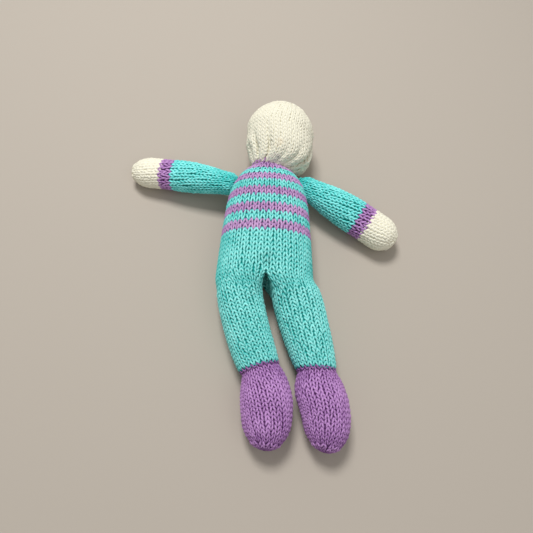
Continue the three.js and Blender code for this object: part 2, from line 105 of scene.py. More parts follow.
def put(made, across, upward, back, place):
    """Links a camera or a lamp into the scene, with its three directions as the columns of its
    matrix and its place, in metres, as the last column."""
    turn = np.eye(4)
    turn[:3] = np.stack([across, upward, back, place], -1)
    made.matrix_world = Matrix(turn.tolist())
    scene.collection.objects.link(made)


heading = np.array([math.sin(HEADING), math.cos(HEADING), 0.0])
level = np.array([math.cos(HEADING), -math.sin(HEADING), 0.0])
upright = heading * math.sin(PITCH_DOWN) + np.array([0, 0, math.cos(PITCH_DOWN)])
forward = heading * math.cos(PITCH_DOWN) - np.array([0, 0, math.sin(PITCH_DOWN)])
right = math.cos(ROLL) * level + math.sin(ROLL) * upright
up = -math.sin(ROLL) * level + math.cos(ROLL) * upright

camera = bpy.data.objects.new("camera", bpy.data.cameras.new("camera"))
camera.data.sensor_width = SENSOR_MM
camera.data.lens = SENSOR_MM * FOCAL_PIXELS / PICTURE_PIXELS
camera.data.clip_start = 0.01
put(camera, right, up, -forward, (CAMERA_MM + ORIGIN) / 1000)
scene.camera = camera
print("camera at", ((CAMERA_MM + ORIGIN) / 1000).round(4))

# %% [markdown]
# ## From arrays to meshes
# Every surface here is a grid of points. A yarn is a long narrow grid that closes on itself both
# ways. One function turns a list of grids into one mesh, and numbers the corners of all faces at
# once, so Python never walks over single vertices. Each corner also gets two flat places: one
# counts along and round the yarn, for its plies, and one gives every bit its own spot, for paint.

# %% Grids into a mesh
def grid_faces(rows, columns, wrap_rows, wrap_columns):
    """Corner places (i, j) of every quad of a grid, as two arrays of shape (faces, 4).
    Corners past the last row or column belong to the first one if the grid wraps."""
    i, j = np.meshgrid(
        np.arange(rows if wrap_rows else rows - 1),
        np.arange(columns if wrap_columns else columns - 1),
        indexing="ij",
    )
    i, j = i.ravel(), j.ravel()
    return np.stack([i, i + 1, i + 1, i], 1), np.stack([j, j, j + 1, j + 1], 1)


def build(name, grids, materials):
    """One mesh object from grids: dicts of points (rows, columns, 3) in millimetres of the doll's
    own frame, depth (how far out of the cloth each point lies, from 0 to 1), wrap (two flags),
    yarn and paint (functions from corner places to flat places), and the number of a material."""
    points, faces, yarn_uv, paint_uv, slots, depths = [], [], [], [], [], []
    count = 0
    for grid in grids:
        rows, columns = grid["points"].shape[:2]
        i, j = grid_faces(rows, columns, *grid["wrap"])
        faces.append(count + (i % rows) * columns + j % columns)
        yarn_uv.append(np.stack(grid["yarn"](i, j), -1).reshape(-1, 2))
        paint_uv.append(np.stack(grid["paint"](i, j), -1).reshape(-1, 2))
        slots.append(np.full(len(i), grid["material"]))
        points.append(grid["points"].reshape(-1, 3))
        depths.append(np.broadcast_to(grid["depth"], (rows, columns)).ravel())
        count += rows * columns
    vertices = (np.concatenate(points) + ORIGIN) / 1000
    corners = np.concatenate(faces)
    mesh = bpy.data.meshes.new(name)
    mesh.vertices.add(len(vertices))
    mesh.vertices.foreach_set("co", vertices.astype(np.float32).ravel())
    mesh.loops.add(corners.size)
    mesh.loops.foreach_set("vertex_index", corners.astype(np.int32).ravel())
    mesh.polygons.add(len(corners))
    mesh.polygons.foreach_set("loop_start", np.arange(0, corners.size, 4, dtype=np.int32))
    mesh.polygons.foreach_set("material_index", np.concatenate(slots).astype(np.int32))
    mesh.polygons.foreach_set("use_smooth", np.ones(len(corners), dtype=bool))
    for label, flat in (("OFBake", paint_uv), ("yarn", yarn_uv)):
        layer = mesh.uv_layers.new(name=label)
        layer.data.foreach_set("uv", np.concatenate(flat).astype(np.float32).ravel())
    depth_layer = mesh.attributes.new("depth", "FLOAT", "POINT")
    depth_layer.data.foreach_set("value", np.concatenate(depths).astype(np.float32))
    mesh.update()
    mesh.validate()
    for material in materials:
        mesh.materials.append(material)
    piece = bpy.data.objects.new(name, mesh)
    scene.collection.objects.link(piece)
    return piece


print("a closed band of 6 by 2 points has", len(grid_faces(6, 2, True, False)[0]), "faces")

# %% [markdown]
# ## Yarn laid along a path
# A yarn is a round tube. Its section is turned by the path's own direction and by the outward
# direction of the cloth, which never points along the yarn, so the tube can't twist or pinch.

# %% A tube of yarn
TUBE_SIDES = 6
YARN_RADIUS = 0.86  # of a double knitting yarn, in mm
LOOP_DEPTH = 0.74  # half the in and out swing of a loop, in mm
COVER_MM = LOOP_DEPTH + YARN_RADIUS  # half the thickness of the cloth
AROUND = 2 * np.pi * np.arange(TUBE_SIDES) / TUBE_SIDES


def unit(vectors):
    """Vectors of length one."""
    return vectors / np.maximum(np.linalg.norm(vectors, axis=-1, keepdims=True), 1e-9)


def tube(path, outward, radius):
    """Points of a closed tube: each point of the path plus radius times (side cos q + lift sin q),
    where side is the direction of the path crossed with outward and lift is square to both."""
    along = unit(np.roll(path, -1, axis=-2) - np.roll(path, 1, axis=-2))
    side = unit(np.cross(along, outward))
    lift = np.cross(side, along)
    ring = side[..., None, :] * np.cos(AROUND)[:, None] + lift[..., None, :] * np.sin(AROUND)[:, None]
    return path[..., None, :] + ring * np.asarray(radius)[..., None, None]


def tube_depth(out, radius):
    """How far out of the cloth each point of a tube lies, from 0 at the back to 1 at the front:
    the yarn's own place plus the point's place round it."""
    height = np.asarray(out)[..., None] + np.asarray(radius)[..., None] * np.sin(AROUND)
    return np.clip((height / COVER_MM + 1) / 2, 0, 1)


def yarn_grid(points, depth, length_mm, first_strip, strips, room):
    """A closed tube as a grid. Along the yarn the flat place counts millimetres, and round it
    from 0 to 1. The painting place cuts the yarn into strips that lie one above the other in the
    share of the square called room."""
    steps = points.shape[0]
    strip_steps = steps / strips

    def yarn(i, j):
        return i * length_mm / steps, j / TUBE_SIDES

    def paint(i, j):
        strip = np.floor((i.min(axis=1, keepdims=True) + 0.5) / strip_steps)
        across = (i - strip * strip_steps) / strip_steps
        upward = (first_strip + strip + 0.04 + 0.92 * j / TUBE_SIDES) * room
        return 0.002 + 0.996 * np.clip(across, 0, 1), upward

    return dict(points=points, depth=depth, wrap=(True, True), yarn=yarn, paint=paint, material=0)


print(f"yarn {2 * YARN_RADIUS:.2f} mm thick, cloth {2 * COVER_MM:.1f} mm thick")

# %% [markdown]
# ## Uneven hands
# Hand knitting is never even, so each row gets its own small waves in the size and place of its
# loops, from a numbered source of chance. Only whole waves fit a row, so it closes without a step.

# %% Uneven hands
WAVES_IN_SUM = 9
UNEVEN_SWAY, UNEVEN_HEIGHT, UNEVEN_STITCH, UNEVEN_ROW = 0.25, 0.05, 0.07, 0.05
UNEVEN_OUT, UNEVEN_THICKNESS = 0.12, 0.05


def waves(t, rows, stitches, chance, strength):
    """A sum of sine waves along each row, with a phase and height of their own in each row."""
    counts = chance.integers(2, max(4, int(stitches * 0.9)), size=(WAVES_IN_SUM, 1, 1))
    phase = chance.uniform(0, 2 * np.pi, size=(WAVES_IN_SUM, len(rows), 1))
    height = chance.normal(size=(WAVES_IN_SUM, len(rows), 1)) * strength / 3
    return (height * np.sin(counts * t / stitches + phase)).sum(axis=0)


print(WAVES_IN_SUM, "waves make a row uneven")

# %% [markdown]
# ## The knitted loop
# In stocking stitch each row of yarn swings up and down, and at the same time from side to side
# at twice the pace, and in and out of the cloth. The two legs of a loop lie in front and lean
# apart, which draws the V that a knitter sees. The top and the bottom of the loop lie behind,
# where the neighbouring rows pass through them. On the arms the columns stand up as ridges, and
# there the top of each loop lies a little further out than its foot.

# %% The slopes of a surface
def slopes(surface, u, r):
    """The two slopes of a surface, in millimetres to a whole turn and to a row."""
    turn_step, row_step = 0.001, 0.05
    along_turn = (surface(u + turn_step, r) - surface(u - turn_step, r)) / (2 * turn_step)
    along_row = (surface(u, r + row_step) - surface(u, r - row_step)) / (2 * row_step)
    return along_turn, along_row


def facing_out(surface, rows):
    """The surface, or the same one read the other way round where its outward direction would
    point at its own middle line."""
    u = np.arange(16) / 16
    r = np.full(16, (rows[0] + rows[-1] + 1) / 2)
    ring = surface(u, r)
    outward = np.cross(*slopes(surface, u, r))
    if (outward * (ring - ring.mean(axis=0))).sum() > 0:
        return surface
    return lambda u, r: surface(1 - u, r)


flat = slopes(lambda u, r: np.array([u, r, 0.0]), 0.5, 2.0)
print("slopes of a flat sheet:", flat[0].round(3), flat[1].round(3))

# %% Loops of yarn on a surface
STITCH_STEPS = 12
STITCH_MM = 4.2  # width of a stitch in the plain cloth of the body
LOOP_SWAY = 0.24  # side swing, in stitches
LOOP_HEIGHT = 0.86  # half the height of a loop, in rows
RIDGE_LEAN = 0.15  # side lean of the legs of a loop on a ridge, in stitches


def loops(surface, stitches, rows, seed, thick, ridge):
    """The paths of the yarn of each row of stocking stitch, with the way out of the cloth, the
    distance out of its middle, and the yarn's radius, which shrink where stitches crowd:
    stitch = t / 2 pi + sway sin 2t + lean ridge sin t, row = middle - height cos t,
    out = -depth cos 2t - ridge cos t."""
    chance = np.random.default_rng(seed)
    rows = np.asarray(rows)
    t = 2 * np.pi * np.arange(stitches * STITCH_STEPS) / STITCH_STEPS
    t = t[None, :]
    sway = LOOP_SWAY * (1 + waves(t, rows, stitches, chance, UNEVEN_SWAY))
    height = LOOP_HEIGHT * (1 + waves(t, rows, stitches, chance, UNEVEN_HEIGHT))
    w = t / (2 * np.pi) + sway * np.sin(2 * t) + RIDGE_LEAN * ridge * np.sin(t)
    w = w + waves(t, rows, stitches, chance, UNEVEN_STITCH)
    r = rows[:, None] + 0.5 - height * np.cos(t) + waves(t, rows, stitches, chance, UNEVEN_ROW)
    along_turn, along_row = slopes(surface, w / stitches, r)
    outward = unit(np.cross(along_turn, along_row))
    crowding = np.clip(np.linalg.norm(along_turn, axis=-1) / stitches / STITCH_MM, 0.35, 1.1)
    out = -LOOP_DEPTH * np.cos(2 * t) - ridge * np.cos(t)
    out = (out + waves(t, rows, stitches, chance, UNEVEN_OUT)) * crowding / thick
    uneven = 1 + waves(t, rows, stitches, chance, UNEVEN_THICKNESS)
    radius = YARN_RADIUS * thick * crowding**0.7 * uneven
    path = surface(w / stitches, r) + outward * out[..., None]
    return path, outward, out, radius


print(f"a loop is {2 * LOOP_HEIGHT:.2f} rows high and {STITCH_STEPS} steps long")

# %% [markdown]
# ## A piece of knitting
# A piece is the loops of all its rows in one mesh. Behind them lies the shaded inside of the
# cloth, a plain surface in a colour of painted shade that shows only between the stitches.

# %% A piece of knitting
PAINT_FOR_YARN = 0.9  # share of the painting square that the yarn takes
PAINT_STRIPS = 60  # strips in that share that a small piece is cut into


def backing(surface, stitches, first, last, room, lower):
    """The inside of the cloth: the surface itself, a little further in than the cloth's middle."""
    u = np.arange(2 * stitches) / (2 * stitches)
    r = np.linspace(first, last, max(3, int((last - first) * 2) + 1))
    grid_u, grid_r = np.meshgrid(u, r, indexing="ij")
    inward = unit(np.cross(*slopes(surface, grid_u, grid_r))) * (-0.3 * LOOP_DEPTH)
    points = surface(grid_u, grid_r) + inward
    rows, columns = points.shape[:2]

    def yarn(i, j):
        return i * 2.0, j * 1.0

    def paint(i, j):
        return 0.002 + 0.996 * i / rows, lower + room * j / (columns - 1)

    return dict(points=points, depth=0.0, wrap=(True, False), yarn=yarn, paint=paint, material=1)


def knit(name, surface, parts, colours, seed, thick=1.0, ridge=0.08):
    """A piece of stocking stitch. parts are pairs of stitches and rows, and colours are two
    materials, of the yarn and of its shaded inside."""
    all_rows = np.concatenate([np.asarray(rows, float) for _, rows in parts])
    surface = facing_out(surface, all_rows)
    strips = max(1, round(math.sqrt(PAINT_STRIPS / len(all_rows))))
    room = PAINT_FOR_YARN / (strips * len(all_rows))
    grids = []
    for part, (stitches, rows) in enumerate(parts):
        path, outward, out, radius = loops(surface, stitches, rows, seed + 100 * part, thick, ridge)
        points = tube(path, outward, radius)
        depth = tube_depth(out, radius)
        lengths = np.linalg.norm(np.diff(path, axis=1), axis=-1).sum(axis=1)
        for row_points, row_depth, length in zip(points, depth, lengths):
            grids.append(yarn_grid(row_points, row_depth, length, len(grids) * strips, strips, room))
    first, last = all_rows.min() + 0.1, all_rows.max() + 0.9
    spare = 0.98 - PAINT_FOR_YARN
    grids.append(backing(surface, parts[0][0], first, last, spare, PAINT_FOR_YARN + 0.01))
    piece = build(name, grids, colours)
    print(f"{name}: {len(all_rows)} rows, {len(piece.data.polygons) * 2} triangles")
    return piece


print("a piece of 25 rows has", round(math.sqrt(PAINT_STRIPS / 25)), "strips of paint to a row")

# %% [markdown]
# ## Soft shapes
# A stuffed limb swells and tapers along a bent middle line. Its sizes are given at a few places
# and run smoothly between them. Its own weight flattens it on the floor, so heights below the
# floor are lifted by a curve that never quite reaches it.

# %% Soft shapes
def smooth(at, places, values):
    """A smooth line through the values at the places: cubic steps whose slope at each place is
    the mean of the slopes on both sides of it."""
    places, values = np.asarray(places, float), np.asarray(values, float)
    slope = np.gradient(values, places)
    at = np.asarray(at, float)
    k = np.clip(np.searchsorted(places, at) - 1, 0, len(places) - 2)
    span = places[k + 1] - places[k]
    x = (at - places[k]) / span
    beyond = np.where(x < 0, x, np.where(x > 1, x - 1, 0)) * span
    x = np.clip(x, 0, 1)
    start, end = values[k], values[k + 1]
    value = (
        (2 * x**3 - 3 * x**2 + 1) * start
        + (x**3 - 2 * x**2 + x) * span * slope[k]
        + (3 * x**2 - 2 * x**3) * end
        + (x**3 - x**2) * span * slope[k + 1]
    )
    return value + beyond * np.where(at < places[0], slope[0], slope[-1])


def lying(z, softness=2.2, floor=COVER_MM):
    """Height after the floor has pushed back: the mean of the height and of its distance from
    the floor, rounded off over the softness."""
    over = z - floor
    return floor + (over + np.sqrt(over**2 + softness**2)) / 2 - softness / 5


def bent_line(places, degrees):
    """A middle line whose heading runs through the degrees at the places, as a function from
    the distance s to x, y and heading: x' = -sin heading and y' = cos heading, added up."""
    s = np.linspace(-20, 110, 1301)
    heading = np.radians(np.interp(s, places, degrees))
    between = (heading[1:] + heading[:-1]) / 2
    x = np.concatenate([[0], np.cumsum(-np.sin(between) * (s[1] - s[0]))])
    y = np.concatenate([[0], np.cumsum(np.cos(between) * (s[1] - s[0]))])
    x -= np.interp(0, s, x)
    y -= np.interp(0, s, y)
    return lambda at: (np.interp(at, s, x), np.interp(at, s, y), np.interp(at, s, heading))


print(f"a point 5 mm under the floor comes to lie {lying(-5.0):.1f} mm over it")

# %% Rows and tips
def ease(x):
    """From 0 to 1 with a soft start and end: 3x^2 - 2x^3."""
    x = np.clip(x, 0, 1)
    return x * x * (3 - 2 * x)


def by_length(profile, from_s, to_s, rows):
    """A function from row to distance s, such that rows are equally far apart on the surface,
    measured along its side: each bit is the root of ds squared plus the change in radius squared."""
    s = np.linspace(from_s, to_s, 400)
    radius = profile(s)
    run = np.concatenate([[0], np.cumsum(np.hypot(np.diff(s), np.diff(radius)))])
    bit = run[-1] / rows

    def distance(r):
        r = np.asarray(r, float)
        inside = np.interp(r * bit, run, s)
        return inside + np.minimum(r, 0) * bit + np.maximum(r - rows, 0) * bit

    return distance


def root_and_tip(s, root_radius, wide, length, rounding, fullness):
    """A limb's outline at the distance s from its joint, less half of the cover: a ball up to the
    joint, the given width, and a tip where width and s follow (w/W)^2 + x^fullness = 1."""
    root = np.sqrt(np.maximum(root_radius**2 - np.minimum(s, 0) ** 2, 0.04))
    x = np.clip((s - length + rounding) / rounding, 0, 1)
    outer = np.where(s < 0, root, wide * np.sqrt(np.maximum(1 - x**fullness, 0.0004)))
    return np.maximum(outer - COVER_MM * np.clip(outer / 5, 0, 1), 0.1)


print(f"after a quarter of the way, ease has come to {ease(0.25):.2f}")

# %% [markdown]
# ## Yarn as a material
# Wool is rough and scatters light at its edges, so the shader has a high roughness and a sheen.
# A yarn is several plies twisted together, so the bump climbs round it as it runs along. Dye
# takes unevenly, so the colour wanders a little, and a few fibres lie lighter or darker.

# %% Colours, materials and nodes
def linear(colour):
    """Display values from 0 to 1 as the light values that shaders take."""
    colour = np.asarray(colour, float)
    return np.where(colour <= 0.04045, colour / 12.92, ((colour + 0.055) / 1.055) ** 2.4)


def shade(colour):
    """A colour for a shader, with full opacity."""
    return (*[float(value) for value in np.clip(linear(colour), 0, 1)], 1.0)


def new_material(name, values):
    """A material with its node tree and its shader, which takes the values."""
    material = bpy.data.materials.new(name)
    material.use_nodes = True
    shader = material.node_tree.nodes["Principled BSDF"]
    for key, value in values.items():
        shader.inputs[key].default_value = value
    return material, material.node_tree, shader


def add(tree, kind, values=(), links=(), **settings):
    """A new node with its settings, the values of its inputs and what runs into them."""
    node = tree.nodes.new(kind)
    for key, value in settings.items():
        setattr(node, key, value)
    for key, value in dict(values).items():
        node.inputs[key].default_value = value
    for key, socket in dict(links).items():
        tree.links.new(socket, node.inputs[key])
    return node


print("mid grey for a shader:", round(shade((0.5, 0.5, 0.5))[0], 3))

# %% Sums, noise and steps of colour
def weighted_sum(tree, sources, base):
    """Each socket times its weight, added up, plus a base."""
    total = {}
    for socket, weight in sources:
        step = add(tree, "ShaderNodeMath", {1: weight, 2: base}, {0: socket, **total},
                   operation="MULTIPLY_ADD")
        total = {2: step.outputs[0]}
    return total[2]


def noise(tree, vector, scale, detail):
    """Noise of a scale, in waves to a metre."""
    values = {"Scale": scale, "Detail": detail}
    return add(tree, "ShaderNodeTexNoise", values, {"Vector": vector}).outputs["Fac"]


def bumped(tree, shader, height, strength, distance):
    """Lets the height push the surface's shading in and out, by a distance in metres."""
    values = {"Strength": strength, "Distance": distance}
    bump = add(tree, "ShaderNodeBump", values, {"Height": height})
    tree.links.new(bump.outputs["Normal"], shader.inputs["Normal"])


def colour_steps(tree, value, stops):
    """Colours that run into each other, from (place, colour) pairs."""
    node = add(tree, "ShaderNodeValToRGB", links={"Fac": value})
    steps = node.color_ramp.elements
    for place, colour in stops[1:-1]:
        steps.new(place).color = shade(colour)
    for step, (place, colour) in ((steps[0], stops[0]), (steps[-1], stops[-1])):
        step.position = place
        step.color = shade(colour)
    return node.outputs["Color"]

# %% [markdown]
# ## Marks on the wool
# The head has a faint yellowish stain and a speck of lilac. Such a mark is a colour laid over
# the wool near one place, broken up by noise.

# %% Marks
def near(tree, vector, place, radius, softness):
    """1 within the radius of a place, falling to 0 over the softness, all in metres."""
    distance = add(tree, "ShaderNodeVectorMath", {1: place}, {0: vector}, operation="DISTANCE")
    values = {"From Min": radius + softness, "From Max": radius}
    links = {"Value": distance.outputs["Value"]}
    return add(tree, "ShaderNodeMapRange", values, links).outputs["Result"]


def marked(tree, base, vector, mark):
    """The base colour with a mark's own colour laid over it, where nearness times noise is high."""
    place, radius, softness, grain, strength, colour = mark
    links = {0: near(tree, vector, place, radius, softness), 1: noise(tree, vector, grain, 2)}
    spots = add(tree, "ShaderNodeMath", links=links, operation="MULTIPLY")
    edge = weighted_sum(tree, [(spots.outputs[0], 4.0)], -1.6)
    share = add(tree, "ShaderNodeMath", {1: strength}, {0: edge}, operation="MULTIPLY",
                use_clamp=True)
    links = {"Factor": share.outputs[0], "A": base}
    return add(tree, "ShaderNodeMix", {"B": shade(colour)}, links, data_type="RGBA").outputs["Result"]


STAIN = (0.003, 0.011, 150, 0.28, (0.88, 0.77, 0.60))
SPECK = (0.005, 0.005, 620, 0.4, (0.45, 0.26, 0.47))
MARKS_MM = [([6.5, 107, 54], STAIN), ([6, 99, 51], STAIN), (NECK + [4, 1, 19], SPECK)]
HEAD_MARKS = [(tuple((place + ORIGIN) / 1000), *mark) for place, mark in MARKS_MM]
print(len(HEAD_MARKS), "marks on the head")

# %% [markdown]
# ## Five yarns
# The photograph shows five yarns: turquoise, a stronger one for the sleeves, lilac, purple and
# cream. Each runs from a deep tone between the loops, painted shade, to a light one on top, a
# painted highlight, which makes the stitches readable from far away.

# %% The yarns
def yarn_material(name, deep, middle, light, marks=()):
    """Twisted wool. Its tone is a weighted sum of the depth in the cloth, the plies and two sizes
    of noise, and runs from deep over middle to light. The depth share is painted shade where the
    yarn lies deep in the cloth or turns inward, and a painted highlight where it faces out. The
    bump has slanting plies and fibres."""
    material, tree, shader = new_material(name, {
        "Roughness": 0.92, "Specular IOR Level": 0.2, "Sheen Weight": 0.2, "Sheen Roughness": 0.6,
        "Sheen Tint": shade(light),
    })
    place = add(tree, "ShaderNodeTexCoord").outputs["Object"]
    depth = add(tree, "ShaderNodeAttribute", attribute_name="depth").outputs["Fac"]
    flat = add(tree, "ShaderNodeUVMap", uv_map="yarn").outputs["UV"]
    climb = {"Rotation": (0, 0, math.radians(38)), "Scale": (0.55, 2.0, 1.0)}
    slant = add(tree, "ShaderNodeMapping", climb, {"Vector": flat}).outputs["Vector"]
    twist = {"Scale": 0.62, "Distortion": 1.6, "Detail": 2.0}
    plies = add(tree, "ShaderNodeTexWave", twist, {"Vector": slant}, wave_type="BANDS",
                bands_direction="X").outputs["Fac"]
    cloud = noise(tree, place, 70, 3)
    fleck = noise(tree, place, 900, 2)
    # painted shade and highlight: the depth in the cloth darkens the gaps and lightens the tops
    tone = weighted_sum(tree, [(depth, 1.3), (cloud, 0.35), (plies, 0.12), (fleck, 0.30)], -0.685)
    colour = colour_steps(tree, tone, [(0.2, deep), (0.62, middle), (1.0, light)])
    for mark in marks:
        colour = marked(tree, colour, place, mark)
    tree.links.new(colour, shader.inputs["Base Color"])
    height = weighted_sum(tree, [(plies, 0.6), (noise(tree, place, 2600, 2), 1.0)], 0.0)
    bumped(tree, shader, height, 0.5, 0.0002)
    return material


def noisy_colour(tree, shader, colours, scale, detail):
    """Lets the shader's colour wander between two with noise, and gives the place back."""
    place = add(tree, "ShaderNodeTexCoord").outputs["Object"]
    stops = [(0.3, colours[0]), (0.7, colours[1])]
    colour = colour_steps(tree, noise(tree, place, scale, detail), stops)
    tree.links.new(colour, shader.inputs["Base Color"])
    return place


def inside_material(name, colour):
    """The shaded backs of the loops, seen only through the gaps: a colour of painted shade."""
    material, tree, shader = new_material(name, {"Roughness": 1.0, "Specular IOR Level": 0.0})
    noisy_colour(tree, shader, (np.array(colour) * 0.8, np.array(colour)), 500, 2)
    return material

# %% The tones of the yarns
# deep, middle and light tones: the deep one is painted shade between the loops, the light one a painted
# highlight on top
YARNS = {
    "turquoise": ((0.00, 0.55, 0.52), (0.22, 0.70, 0.68), (0.59, 0.91, 0.89)),
    "sleeve": ((0.00, 0.55, 0.52), (0.18, 0.73, 0.71), (0.56, 0.94, 0.93)),
    "lilac": ((0.42, 0.24, 0.45), (0.59, 0.42, 0.63), (0.78, 0.64, 0.80)),
    "purple": ((0.33, 0.14, 0.37), (0.51, 0.33, 0.56), (0.76, 0.58, 0.80)),
    "cream": ((0.925, 0.905, 0.82), (0.93, 0.915, 0.84), (0.93, 0.915, 0.84)),
}
INSIDE_LIGHTER = 0.08  # the gaps of a dark yarn are a little lighter than its deep tone
COLOURS = {}
for yarn_name, (deep, middle, light) in YARNS.items():
    # the inside of a dark yarn is painted shade, its deep tone made a little lighter; the cream's inside
    # is its middle tone
    inside = np.array(middle) if yarn_name == "cream" else np.array(deep) + INSIDE_LIGHTER
    COLOURS[yarn_name] = [
        yarn_material(f"{yarn_name}_wool", deep, middle, light),
        inside_material(f"{yarn_name}_inside", inside),
    ]
print("yarns:", ", ".join(COLOURS))


def finish_piece(piece, body, finish, *nodes, fill=0.9, blend=None):
    """What every piece needs: the body that it moves with, or its place fixed in the frame when it lies
    between two bodies, and the nodes that it stands for, which it hides. The finish and how full it
    is stuffed are not used."""
    if blend:
        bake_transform(piece)
    else:
        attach(piece, body)
    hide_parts(*nodes)

# %% [markdown]
# ## The form of the body
# The body is one tube of 50 stitches, widest at the hips and drawn in over the shoulders by
# knitting stitches together. Its outline is nearly an ellipse at every distance from the hip
# line, and a shallow groove runs down to where the legs part.

# %% The body's outline
BODY_STITCHES = 50
HALF = BODY_STITCHES // 2
TRUNK_MM = 30.0  # from the hip line to the first stripe
TRUNK_ROWS = 8
STRIPES = 9  # with the collar
STRIPE_ROWS = 2
STRIPE_STITCHES = [50, 50, 50, 50, 50, 50, 46, 40, 31]  # drawn in at the shoulders
BODY_MM = NECK[1] + 1
BODY_PLACES = [-30, 0, 36, BODY_MM - 32, BODY_MM - 20, BODY_MM - 13, BODY_MM - 5, BODY_MM]
BODY_WIDE = [41.5, 40, 37.5, 34.5, 32.0, 28.9, 22.3, 15.4]
BODY_FRONT = [46.5, 49.5, 52.5, 51.0, 48.8, 45.8, 42.2, 40.8]
BODY_BACK = [-0.5, -0.5, -0.5, -0.5, 1.5, 3.5, 7.5, 9.6]
GROOVE_MM = 5.0  # depth of the groove between the hips
GROOVE_WIDE_MM = 6.0
GROOVE_UP_MM = 13.0  # from the hip line up to where the groove ends


def front_height(y):
    """Height of the middle of the body's front at the distance y from the hip line."""
    return smooth(y, BODY_PLACES, BODY_FRONT)


striped_place = by_length(front_height, TRUNK_MM, BODY_MM, STRIPES * STRIPE_ROWS)


def body_place(r):
    """Distance from the hip line at row r: trunk rows first, then two rows to each stripe."""
    r = np.asarray(r, float)
    return np.where(r < TRUNK_ROWS, r * TRUNK_MM / TRUNK_ROWS, striped_place(r - TRUNK_ROWS))


def body_ring(y, angle):
    """The body's outline at the distance y from the hip line, less half of the cover: an ellipse
    whose sides are a little squarer than a true one, with a groove in the middle near the hips."""
    front, back = front_height(y), smooth(y, BODY_PLACES, BODY_BACK)
    wide = smooth(y, BODY_PLACES, BODY_WIDE) - COVER_MM
    deep = (front - back) / 2 - COVER_MM
    fuller = 1 + 0.05 * np.sin(2 * angle) ** 2
    x = wide * np.cos(angle) * fuller
    fade = ease((GROOVE_UP_MM - y) / GROOVE_UP_MM)
    groove = GROOVE_MM * np.exp(-((x / GROOVE_WIDE_MM) ** 2)) * fade
    z = (front + back) / 2 + (deep - groove) * np.sin(angle) * fuller
    return x, z


print("body:", BODY_STITCHES, "stitches round,", TRUNK_ROWS + STRIPES * STRIPE_ROWS, "rows")

# %% [markdown]
# ## The form of the legs
# Both legs are tubes that lean to the right of the picture. The left one bends, and its stitches
# run round it in a slow screw, as if it had rolled over. The right one is nearly straight.

# %% The legs' outline
LEG_STITCHES = 31  # at the top, with those between the legs
LOWER_STITCHES = 23  # and below, where the leg is slimmer
THIGH_ROWS = 5  # rows at the top of a leg that have all its stitches
INNER_STITCHES = LEG_STITCHES - HALF
LEG_ROWS = 25
LEG_MM = 77.0
HEM_MM = 75.0
LEG_PLACES = [-12, 0, 28, 58, 70, LEG_MM]
LEG_WIDE = {
    "left": [19.3, 18.8, 18.3, 17.6, 17.0, 16.1],
    "right": [19.8, 19.6, 19.8, 18.3, 17.1, 15.8],
}
LEG_DEEP = [23.2, 23.0, 21.0, 18.6, 17.0, 16.0]
LEG_MIDDLE = [22.6, 22.5, 20.5, 18.1, 17.3, 17.0]  # height of the middle line
LEG_SQUARE = [0.10, 0.10, 0.07, 0.05, 0.04, 0.03]  # how square the outline is
HIP_OUT = abs(joint_mm("right_hip_lift")[0] - joint_mm("left_hip_lift")[0]) / 2
LEG_LEANS = {"left": (3.5, 15.5, 23.5), "right": (18, 16.5, 16)}
HEM_LEANS = {"left": 17, "right": 0}  # the slant of the hem, in degrees
HEM_TURN_MM = {"left": 30.0, "right": 60.0}  # the length that turns towards it
LEG_TWIST = {"left": -0.52, "right": 0.0}  # turn of the stitches from hip to hem, in radians
LEG_LINES = {side: bent_line([0, 30, LEG_MM], LEG_LEANS[side]) for side in BOTH}


def leg_ring(side, s, angle):
    """A leg's outline at the distance s from the hip line, less half of the cover: a squarish
    ellipse, turned with the leg and, near its end, towards the slant of the hem."""
    out = -1 if side == "left" else 1
    x, y, heading = LEG_LINES[side](s)
    hem_turn = math.radians(HEM_LEANS[side] - LEG_LEANS[side][-1])
    turn = heading + hem_turn * ease((s - LEG_MM) / HEM_TURN_MM[side] + 1)
    fuller = 1 + smooth(s, LEG_PLACES, LEG_SQUARE) * np.sin(2 * angle) ** 2
    wide = smooth(s, LEG_PLACES, LEG_WIDE[side]) - COVER_MM
    deep = smooth(s, LEG_PLACES, LEG_DEEP) - COVER_MM
    across = wide * np.cos(angle) * fuller
    z = smooth(s, LEG_PLACES, LEG_MIDDLE) + deep * np.sin(angle) * fuller
    return out * HIP_OUT - x + across * np.cos(turn), -y + across * np.sin(turn), z


print(f"legs: {LEG_ROWS} rows, {HEM_MM:.0f} mm long, {2 * HIP_OUT:.0f} mm apart")

# %% [markdown]
# ## One cloth for the body and the legs
# At the hips the body's stitches part: the left half goes down the outside of the left leg and
# the right half down the right one, and new stitches between the legs close each leg into a ring.
# The surface does the same. Each stitch slides from its place on the body to its place on a leg,
# sideways at once, so that the legs stand apart, and in height slowly, so that the groove between
# them stays narrow.

# %% The hips
CROTCH_MM = 22.0  # the cloth between the legs is drawn up into the body by this much
QUICK_MM = 14.0  # the legs have parted sideways after this distance
SLOW_MM = 26.0  # and have their own height after this one


